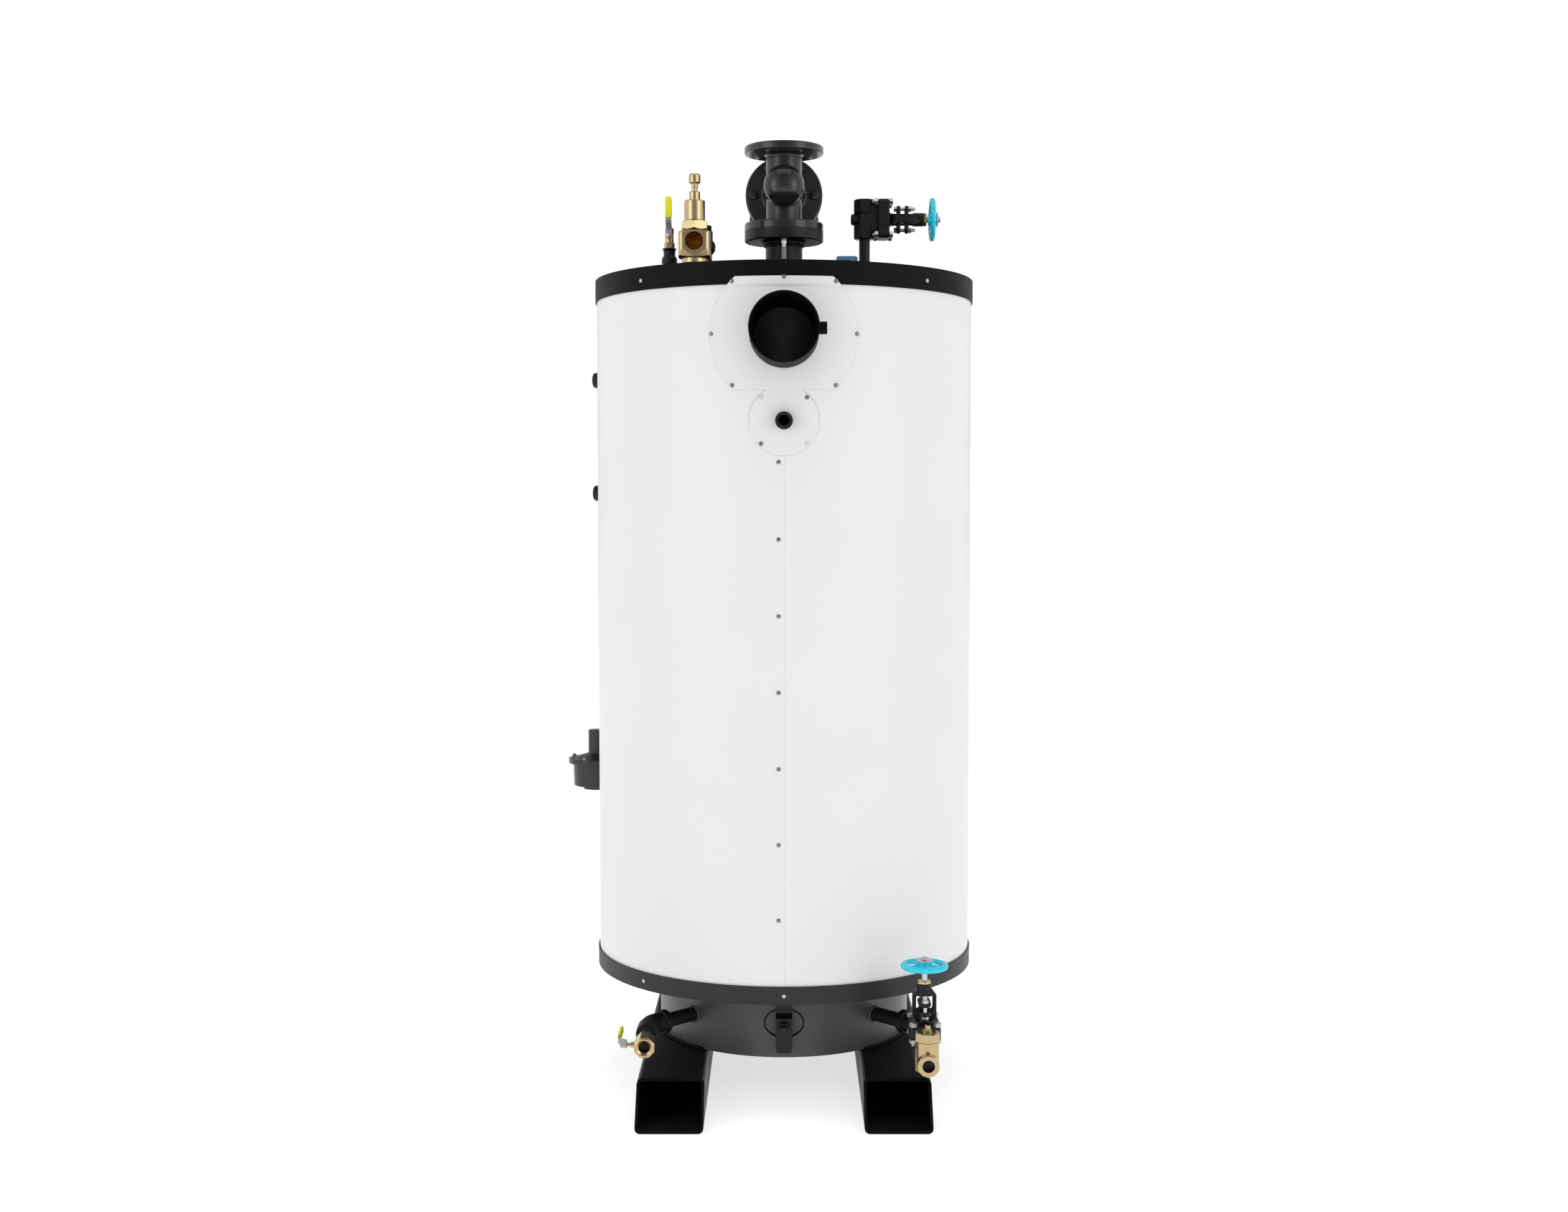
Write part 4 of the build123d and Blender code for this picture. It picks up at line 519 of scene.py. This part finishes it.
def buildCasingScrews():
    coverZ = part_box("top_cover")[1].z - screws["topDrop"]
    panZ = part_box("bottom_pan")[0].z + screws["panRise"]
    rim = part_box("top_cover")[1].x
    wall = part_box("jacket")[1].x
    plate = wall + screws["sheet"]
    lifted = rim + screws["sheet"]
    flueZ = centreOf("flue_outlet").z
    sightZ = centreOf("sight_pipe").z
    bearings = [math.tau * index / screws["rimCount"] for index in range(screws["rimCount"])]
    onPlate = [(side * screws["flueArc"], flueZ, plate) for side in (-1, 1)]
    onPlate += [(side * screws["cornerArc"], flueZ - screws["cornerRise"], plate) for side in (-1, 1)]
    onPlate += [(side * screws["cornerArc"], flueZ + screws["cornerRise"], lifted) for side in (-1, 1)]
    onPlate += [(0.0, flueZ + screws["middleRise"], lifted)]
    onPlate += [(side * screws["sightArc"], sightZ + side * screws["sightArc"], plate) for side in (-1, 1)]
    painted = [(side * screws["sightArc"], sightZ - side * screws["sightArc"], plate) for side in (-1, 1)]
    rows = {
        "cover_screws": [(rim, bearing, coverZ) for bearing in bearings[1:]],
        "pan_screws": [(rim, bearing, panZ) for bearing in bearings],
        "plate_screws": [(reach, -math.asin(arc / reach), height) for arc, height, reach in onPlate],
        "painted_screws": [(reach, -math.asin(arc / reach), height) for arc, height, reach in painted],
        "seam_screws": [(wall, -screws["seamArc"] / wall, height) for height in screws["seamHeights"]],
    }
    shadeSeats = bmesh.new()
    for name, finish in screwFinish.items():
        bm = bmesh.new()
        for index, (reach, bearing, height) in enumerate(rows[name]):
            addCasingScrew(bm, shadeSeats, reach, bearing, height, screws["turn"] + screws["turnStep"] * index)
        finishPiece(bm, name, finish, "boiler")
    finishPiece(shadeSeats, "screw_shade_seats", "pipeBlack", "boiler")


buildCasingScrews()
print("casing screws in place")


# Bolts, gland studs and wheel nuts of the two forged valves; heights are along the stem from the seat

forgedFixings = {
    "hubTop": 0.147, "boltAlong": 0.0405, "boltAcross": 0.0265, "boltFlats": 0.0158, "boltHead": 0.0085,
    "boltNut": 0.0085, "boltRadius": 0.0046, "boltProud": 0.0052, "flangeTop": 0.0605, "flangeLow": 0.032,
    "studAlong": 0.0262, "studFlats": 0.0128, "studHead": 0.0065, "studNut": 0.0072, "studRadius": 0.0042,
    "studProud": 0.0091, "earLow": 0.0795, "glandTop": 0.1085, "pitch": 0.0013,
    "washer": 0.0182, "washerHeight": 0.0026, "wheelFlats": 0.0155, "wheelNut": 0.0056,
    "tail": 0.0048, "tailHeight": 0.0014,
}


def valveFrame(name, flow, stem):
    middle = centreOf(f"{name}_valve_stem")
    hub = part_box(f"{name}_valve_bushing")[0].dot(stem)
    seat = middle + stem * (hub - forgedFixings["hubTop"] - middle.dot(stem))
    columns = Matrix((flow, stem.cross(flow), stem)).transposed().to_4x4()
    return Matrix.Translation(seat) @ columns


def buildForgedFixings(name, flow, stem):
    fix = forgedFixings
    place = valveFrame(name, Vector(flow), Vector(stem))
    turnedOver = Matrix.Rotation(math.pi, 4, "X")
    bm = bmesh.new()
    for along in (-fix["boltAlong"], fix["boltAlong"]):
        for across in (-fix["boltAcross"], fix["boltAcross"]):
            spot = place @ Matrix.Translation((along, across, 0.0))
            addHex(bm, spot, fix["boltFlats"], fix["boltHead"], fix["flangeTop"])
            under = spot @ turnedOver
            addHex(bm, under, fix["boltFlats"], fix["boltNut"], -fix["flangeLow"])
            nutEnd = fix["boltNut"] - fix["flangeLow"]
            addThread(bm, under, fix["boltRadius"], nutEnd, fix["boltProud"], fix["pitch"])
    finishPiece(bm, f"{name}_flange_bolts", "boltZinc", "boiler")
    bm = bmesh.new()
    for along in (-fix["studAlong"], fix["studAlong"]):
        spot = place @ Matrix.Translation((along, 0.0, 0.0))
        addLathe(bm, spot, [(fix["studRadius"], fix["earLow"]), (fix["studRadius"], fix["glandTop"])], 20)
        addHex(bm, spot, fix["studFlats"], fix["studNut"], fix["glandTop"], bothEnds=True)
        nutEnd = fix["glandTop"] + fix["studNut"]
        addThread(bm, spot, fix["studRadius"], nutEnd, fix["studProud"], fix["pitch"])
        addHex(bm, spot @ turnedOver, fix["studFlats"], fix["studHead"], -fix["earLow"])
    finishPiece(bm, f"{name}_gland_studs", "boltZinc", "boiler")
    bm = bmesh.new()
    top = (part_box(f"{name}_handwheel")[1] - place.translation).dot(Vector(stem))
    washerTop = top + fix["washerHeight"]
    addWasher(bm, place, fix["washer"], top, fix["washerHeight"], 48)
    addHex(bm, place, fix["wheelFlats"], fix["wheelNut"], washerTop)
    nutTop = washerTop + fix["wheelNut"]
    tail = fix["tail"]
    tailTop = nutTop + fix["tailHeight"]
    addLathe(bm, place, [(tail, nutTop), (tail, nutTop + fix["tailHeight"] * 0.5), (tail * 0.6, tailTop)], 20)
    finishPiece(bm, f"{name}_wheel_nut", "boltZinc", f"{name}_wheel")


buildForgedFixings("feed", (0.0, -1.0, 0.0), (0.0, 0.0, 1.0))
buildForgedFixings("aux", (0.0, 0.0, 1.0), (1.0, 0.0, 0.0))
print("forged valve fixings in place")


# Bonnet bolts, gland studs, wheel nut and hanging stud of the main gate valve

mainFixings = {
    "frontFace": 0.082, "backFace": 0.12, "boltCircle": 0.0762, "boltCount": 6, "flats": 0.021,
    "head": 0.0095, "nut": 0.013, "radius": 0.0066, "proud": 0.0072, "pitch": 0.0018,
    "studAlong": 0.0385, "studRadius": 0.0055, "studRoot": 0.228, "glandTop": 0.29, "studFlats": 0.017,
    "studNut": 0.01, "studProud": 0.0108, "eyeRadius": 0.0125, "eyeReach": 0.009, "eyeEdge": 0.002,
    "wheelFlats": 0.03, "wheelNut": 0.014, "wheelWasher": 0.021, "wheelWasherHeight": 0.003,
    "hangerY": -0.0635, "hangerRadius": 0.0058, "hangerLength": 0.0465, "hangerNut": 0.0105,
    "hangerSunk": 0.008, "hangerNeck": 1.7,
}


def buildMainFixings():
    fix = mainFixings
    axisZ = centreOf("main_valve_stem").z
    bm = bmesh.new()
    for index in range(fix["boltCount"]):
        turn = math.tau * index / fix["boltCount"]
        x, z = fix["boltCircle"] * math.cos(turn), axisZ + fix["boltCircle"] * math.sin(turn)
        ahead = axisFrame((x, fix["frontFace"], z), (0.0, -1.0, 0.0), math.pi / 6)
        addHex(bm, ahead, fix["flats"], fix["head"])
        behind = axisFrame((x, fix["backFace"], z), (0.0, 1.0, 0.0), 0.4 + index)
        addHex(bm, behind, fix["flats"], fix["nut"])
        addThread(bm, behind, fix["radius"], fix["nut"], fix["proud"], fix["pitch"])
    finishPiece(bm, "main_bonnet_bolts", "ironBlack", "boiler")
    bm = bmesh.new()
    for side in (-1.0, 1.0):
        spot = axisFrame((side * fix["studAlong"], 0.0, axisZ), (0.0, 1.0, 0.0))
        addLathe(bm, spot, [(fix["studRadius"], fix["studRoot"]), (fix["studRadius"], fix["glandTop"])], 20)
        addHex(bm, spot, fix["studFlats"], fix["studNut"], fix["glandTop"], bothEnds=True)
        nutEnd = fix["glandTop"] + fix["studNut"]
        addThread(bm, spot, fix["studRadius"], nutEnd, fix["studProud"], fix["pitch"])
        eye = axisFrame((side * fix["studAlong"], fix["studRoot"], axisZ - fix["eyeReach"]), (0.0, 0.0, 1.0))
        lower = [(fix["eyeRadius"] * 0.86, 0.0), (fix["eyeRadius"], fix["eyeEdge"])]
        upper = [(radius, 2 * fix["eyeReach"] - height) for radius, height in reversed(lower)]
        addLathe(bm, eye, lower + upper)
    finishPiece(bm, "main_gland_studs", "boltZinc", "boiler")
    bm = bmesh.new()
    hub = axisFrame((0.0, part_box("main_handwheel")[1].y, axisZ), (0.0, 1.0, 0.0))
    addWasher(bm, hub, fix["wheelWasher"], 0.0, fix["wheelWasherHeight"], 40)
    addHex(bm, hub, fix["wheelFlats"], fix["wheelNut"], fix["wheelWasherHeight"])
    finishPiece(bm, "main_wheel_nut", "boltZinc", "main_wheel")
    bm = bmesh.new()
    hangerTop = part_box("riser_flange")[0].z + fix["hangerSunk"]
    under = axisFrame((0.0, fix["hangerY"], hangerTop), (0.0, 0.0, -1.0))
    addHex(bm, under, fix["hangerRadius"] * 2.05, fix["hangerNut"], bothEnds=True)
    neck = fix["hangerRadius"] * 0.86
    neckEnd = fix["hangerNut"] * fix["hangerNeck"]
    addLathe(bm, under, [(neck, fix["hangerNut"]), (neck, neckEnd)], 20)
    addThread(bm, under, fix["hangerRadius"], neckEnd, fix["hangerLength"] - neckEnd, fix["pitch"])
    finishPiece(bm, "flange_stud", "boltZinc", "boiler")


buildMainFixings()
print("main valve fixings in place")


# Stem nuts of the two levers

leverNuts = {
    "drain": {"axis": (-1.0, 0.0, 0.0), "washer": 0.0078, "flats": 0.013, "height": 0.0102, "cap": 0.0018},
    "vent": {"axis": (0.0, -1.0, 0.0), "washer": 0.0062, "flats": 0.0098, "height": 0.0052, "cap": 0.0012},
}
leverSheet = 0.0026
leverWasher = 0.0012
joints = {joint["name"]: joint for joint in frame["record"]["behaviour"]["joints"]}


def buildLeverNut(name, nut):
    axis = Vector(nut["axis"])
    place = axisFrame(Vector(joints[f"{name}_lever"]["pos_m"]) + axis * leverSheet, axis, 0.3)
    bm = bmesh.new()
    washer = nut["washer"]
    addLathe(bm, place, [(washer, 0.0), (washer, leverWasher * 0.75), (washer * 0.93, leverWasher)], 32)
    addHex(bm, place, nut["flats"], nut["height"], leverWasher)
    top = leverWasher + nut["height"]
    crown = nut["flats"] * 0.4
    dome = [(crown, top), (crown * 0.8, top + nut["cap"] * 0.7), (crown * 0.4, top + nut["cap"])]
    addLathe(bm, place, dome, 24)
    finishPiece(bm, f"{name}_lever_nut", "boltZinc", f"{name}_handle")


for name, nut in leverNuts.items():
    buildLeverNut(name, nut)
print("lever nuts in place")


# Threads and drill points that show inside the open bores, coloured dark as painted shade inside them

bores = {
    "drain_outlet": {"piece": "drain_bore", "finish": "paintedBoreShade", "turns": 6, "point": 0.004},
    "feed_inlet": {"piece": "feed_bore", "finish": "paintedBoreShade", "turns": 6, "point": 0.004},
    "safety_outlet": {"piece": "safety_bore", "finish": "brassBoreShade", "turns": 2, "point": 0.019},
}
boreShape = {"wall": 0.0002, "mouth": 0.001, "threadStart": 0.0015, "pitch": 0.0022, "steps": 48}
mounts = {mount["name"]: mount for mount in frame["record"]["mounts"]}


def buildBore(name, bore):
    mount = mounts[name]
    axis = Vector(mount["axis"])
    radius = mount["dims"]["r_mm"] / 1000 - boreShape["wall"]
    depth = mount["dims"]["length_mm"] / 1000
    place = axisFrame(Vector(mount["pos_m"]) + axis * depth / 2, -axis)
    pitch = boreShape["pitch"]
    start = boreShape["threadStart"]
    profile = [(radius, boreShape["mouth"])]
    for turn in range(bore["turns"]):
        profile += [(radius, start + turn * pitch), (radius - pitch * 0.4, start + (turn + 0.5) * pitch)]
    profile += [(radius, start + bore["turns"] * pitch), (radius, depth - bore["point"])]
    profile += [(radius * 0.04, depth - boreShape["wall"])]
    bm = bmesh.new()
    rings = [circle(reach, height, boreShape["steps"]) for reach, height in profile]
    addRings(bm, place, rings, False, True)
    finishPiece(bm, bore["piece"], bore["finish"], "boiler")


for name, bore in bores.items():
    buildBore(name, bore)
print("bores lined")


# Casing screws of the gas regulator

regulatorScrews = {
    "count": 8, "circle": 0.0668, "flats": 0.0085, "height": 0.0045, "rim": 0.007,
    "washer": 0.0056, "washerHeight": 0.001,
}


def buildRegulatorScrews():
    fix = regulatorScrews
    middle = centreOf("regulator_cover")
    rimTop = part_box("regulator_cover")[0].z + fix["rim"]
    bm = bmesh.new()
    for index in range(fix["count"]):
        turn = math.tau * (index + 0.5) / fix["count"]
        x = middle.x + fix["circle"] * math.cos(turn)
        y = middle.y + fix["circle"] * math.sin(turn)
        place = axisFrame((x, y, rimTop), (0.0, 0.0, 1.0), turn)
        addLathe(bm, place, [(fix["washer"], 0.0), (fix["washer"] * 0.94, fix["washerHeight"])], 24)
        addHex(bm, place, fix["flats"], fix["height"], fix["washerHeight"])
    finishPiece(bm, "regulator_screws", "screwSteel", "boiler")


buildRegulatorScrews()
print("regulator screws in place")


# Weld beads, the handhole's gasket, stud and pipe threads

upward = Vector((0.0, 0.0, 1.0))
welds = {
    "pipeBead": 0.0032, "skidBead": 0.0042, "flangeBead": 0.0028, "ripple": 0.13, "step": 0.0022,
    "skidInset": 0.0135, "pipeRadius": 0.0167, "pipeLap": 0.35, "skidLift": 0.0012, "flangeLift": 0.001,
}
gasket = {"inset": 0.0102, "radius": 0.0021, "sunk": 0.0016, "steps": 96}
threads = {
    "studRadius": 0.0083, "studProud": 0.014, "studPitch": 0.002,
    "pipeRadius": 0.01702, "pipePitch": 0.0022, "pipeLength": 0.0088,
}


def buildPipeWelds():
    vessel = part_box("vessel_shell")[1].x
    bm = bmesh.new()
    for side, line in ((-1.0, "drain"), (1.0, "feed")):
        axis = Vector((side, -1.0, 0.0)).normalized()
        across = Vector((1.0, side, 0.0)).normalized()
        middle = centreOf(f"{line}_elbow").z
        reach = welds["pipeRadius"] + welds["pipeBead"] * welds["pipeLap"]
        count = round(math.tau * reach / welds["step"])
        path = []
        for step in range(count):
            turn = math.tau * step / count
            sideways = reach * math.cos(turn)
            out = math.sqrt(vessel**2 - sideways**2)
            spread = across * math.cos(turn) + upward * math.sin(turn)
            path.append((axis * out + spread * reach + upward * middle, (axis + spread).normalized()))
        addBead(bm, path, welds["pipeBead"], welds["ripple"], True)
    finishPiece(bm, "pipe_welds", "vesselBlack", "boiler", 80.0)


def buildSkidWelds():
    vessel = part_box("vessel_shell")[1].x
    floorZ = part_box("vessel_shell")[0].z
    bm = bmesh.new()
    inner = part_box("skid_right")[0].x + welds["skidInset"]
    half = math.acos(inner / vessel)
    count = round(2 * half * vessel / welds["step"])
    for side in (-1.0, 1.0):
        path = []
        for step in range(count + 1):
            turn = -half + 2 * half * step / count
            outward = Vector((side * math.cos(turn), math.sin(turn), 0.0))
            spot = outward * (vessel + welds["skidLift"]) + upward * (floorZ + welds["skidLift"])
            path.append((spot, (outward + upward).normalized()))
        addBead(bm, path, welds["skidBead"], welds["ripple"], False)
    finishPiece(bm, "skid_welds", "skidBlack", "boiler", 80.0)


def buildRiserWeld():
    bm = bmesh.new()
    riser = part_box("steam_riser")[1].x
    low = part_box("riser_flange")[0].z
    count = round(math.tau * riser / welds["step"])
    path = []
    for step in range(count):
        turn = math.tau * step / count
        outward = Vector((math.cos(turn), math.sin(turn), 0.0))
        spot = outward * (riser + welds["flangeLift"]) + upward * (low - welds["flangeLift"])
        path.append((spot, (outward - upward).normalized()))
    addBead(bm, path, welds["flangeBead"], welds["ripple"], True)
    finishPiece(bm, "riser_weld", "pipeBlack", "boiler", 80.0)


def buildGasket():
    low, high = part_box("handhole_cover")
    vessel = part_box("vessel_shell")[1].x
    wide = (high.x - low.x) / 2 - gasket["inset"]
    tall = (high.z - low.z) / 2 - gasket["inset"]
    path = []
    for step in range(gasket["steps"]):
        turn = math.tau * step / gasket["steps"]
        x, z = wide * math.cos(turn), (low.z + high.z) / 2 + tall * math.sin(turn)
        outward = Vector((x, -math.sqrt(vessel**2 - x**2), 0.0)).normalized()
        path.append((outward * (vessel - gasket["sunk"]) + upward * z, outward))
    bm = bmesh.new()
    addBead(bm, path, gasket["radius"], 0.0, True)
    finishPiece(bm, "handhole_gasket", "skidBlack", "boiler", 80.0)


def buildThreads():
    bm = bmesh.new()
    middle = centreOf("handhole_stud")
    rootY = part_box("handhole_stud")[0].y + threads["studProud"]
    place = axisFrame((middle.x, rootY, middle.z), (0.0, -1.0, 0.0))
    addThread(bm, place, threads["studRadius"], 0.0, threads["studProud"], threads["studPitch"], 32)
    finishPiece(bm, "handhole_thread", "yokeBlack", "boiler")
    bm = bmesh.new()
    drain, feed = centreOf("drain_coupling"), centreOf("check_valve_body")
    level = centreOf("drain_elbow").z
    ends = [
        (drain.x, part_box("drain_valve_body")[1].y, 1.0), (drain.x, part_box("drain_coupling")[0].y, -1.0),
        (feed.x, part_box("feed_valve_body")[1].y, 1.0), (feed.x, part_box("feed_elbow")[0].y, -1.0),
    ]
    for x, y, way in ends:
        place = axisFrame((x, y, level), (0.0, way, 0.0))
        addThread(bm, place, threads["pipeRadius"], 0.0, threads["pipeLength"], threads["pipePitch"], 40)
    finishPiece(bm, "pipe_threads", "pipeBlack", "boiler")


buildPipeWelds()
buildSkidWelds()
buildRiserWeld()
buildGasket()
buildThreads()
print("welds, gasket and threads in place")


# Lap of the jacket's vertical seam, under the seam screws

lap = {"arc": -0.012, "halfWidth": 0.0125, "sheet": 0.0006, "sunk": 0.001, "steps": 8}


def onWall(wall, arc, reach, height):
    return (reach * math.sin(arc / wall), -reach * math.cos(arc / wall), height)


def buildLap():
    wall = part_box("jacket")[1].x
    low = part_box("bottom_pan")[1].z
    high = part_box("flue_plate")[0].z
    rings = []
    shares = [step / lap["steps"] for step in range(lap["steps"] + 1)]
    for height in (low, high):
        arcs = [lap["arc"] + lap["halfWidth"] * (2 * share - 1) for share in shares]
        outer = [onWall(wall, arc, wall + lap["sheet"] * share, height) for arc, share in zip(arcs, shares)]
        inner = [onWall(wall, arc, wall - lap["sunk"], height) for arc in reversed(arcs)]
        rings.append(outer + inner)
    bm = bmesh.new()
    addRings(bm, Matrix(), rings)
    finishPiece(bm, "jacket_lap", "jacketWhite", "boiler")


buildLap()
print("jacket lap in place")


# Stage, light and camera

stageLook = {
    "floorSize": 40.0, "floorDrop": 0.0005, "floor": (0.62, 0.62, 0.62), "floorGlow": 0.68,
    "floorRough": 0.9, "floorSpecular": 0.1,
    "sky": 0.72, "glossFront": 0.35, "glossSide": 1.15, "glossTop": 0.3,
    "panelPower": 28.0, "panelAim": (0.0, 0.0, 1.1),
}
panels = {
    "leftPanel": {"place": (-3.4, -2.9, 2.0), "size": (2.0, 3.2)},
    "rightPanel": {"place": (3.4, -2.9, 2.0), "size": (2.0, 3.2)},
    "topPanel": {"place": (0.0, -0.6, 5.2), "size": (3.0, 3.0)},
}
shot = {
    "place": (0.0, -4.5802, 1.3877), "pitch": 0.0549, "sensor": 36.0,
    "focalPixels": 2599.0, "imageWidth": 2184.0,
}


def buildStage():
    bm = bmesh.new()
    half = stageLook["floorSize"] / 2
    corners = ((-half, -half), (half, -half), (half, half), (-half, half))
    bm.faces.new([bm.verts.new((x, y, -stageLook["floorDrop"])) for x, y in corners])
    mesh = bpy.data.meshes.new("floor")
    bm.to_mesh(mesh)
    bm.free()
    floor = bpy.data.objects.new("floor", mesh)
    bpy.context.scene.collection.objects.link(floor)
    material, tree, shader = startMaterial("floorPale")
    shader.inputs["Base Color"].default_value = opaque(stageLook["floor"])
    shader.inputs["Emission Color"].default_value = (1.0, 1.0, 1.0, 1.0)
    shader.inputs["Emission Strength"].default_value = stageLook["floorGlow"]
    shader.inputs["Roughness"].default_value = stageLook["floorRough"]
    shader.inputs["Specular IOR Level"].default_value = stageLook["floorSpecular"]
    mesh.materials.append(material)


def buildLight():
    world = bpy.data.worlds.new("studio")
    bpy.context.scene.world = world
    world.use_nodes = True
    tree = world.node_tree
    backdrop = tree.nodes["Background"]
    backdrop.inputs["Color"].default_value = (1.0, 1.0, 1.0, 1.0)
    path = put(tree, "ShaderNodeLightPath")
    direction = put(tree, "ShaderNodeTexCoord").outputs["Generated"]
    heading = put(tree, "ShaderNodeSeparateXYZ", {0: direction}).outputs
    sideways = mathNode(tree, "ABSOLUTE", heading["X"], 0.0)
    gloss = ramp(tree, sideways, 0.2, 0.6, stageLook["glossFront"], stageLook["glossSide"])
    overhead = ramp(tree, heading["Z"], 0.45, 0.95, 1.0, stageLook["glossTop"])
    gloss = mathNode(tree, "MULTIPLY", gloss, overhead)
    mirrored = put(tree, "ShaderNodeMix", {0: path.outputs["Is Glossy Ray"], 2: stageLook["sky"], 3: gloss})
    strength = put(tree, "ShaderNodeMix", {0: path.outputs["Is Camera Ray"], 2: mirrored.outputs[0], 3: 1.0})
    tree.links.new(strength.outputs[0], backdrop.inputs["Strength"])
    for name, look in panels.items():
        lamp = bpy.data.lights.new(name, "AREA")
        lamp.shape = "RECTANGLE"
        lamp.size, lamp.size_y = look["size"]
        lamp.energy = stageLook["panelPower"]
        panel = bpy.data.objects.new(name, lamp)
        panel.location = look["place"]
        aim = Vector(stageLook["panelAim"]) - Vector(look["place"])
        panel.rotation_euler = aim.to_track_quat("-Z", "Y").to_euler()
        bpy.context.scene.collection.objects.link(panel)


def buildCamera():
    lens = bpy.data.cameras.new("camera")
    lens.sensor_width = shot["sensor"]
    lens.lens = shot["focalPixels"] / shot["imageWidth"] * lens.sensor_width
    camera = bpy.data.objects.new("camera", lens)
    camera.location = shot["place"]
    camera.rotation_euler = (math.pi / 2 - shot["pitch"], 0.0, 0.0)
    bpy.context.scene.collection.objects.link(camera)
    bpy.context.scene.camera = camera


buildStage()
buildLight()
buildCamera()
bpy.context.scene.view_settings.view_transform = "Standard"
print("stage, light and camera set")
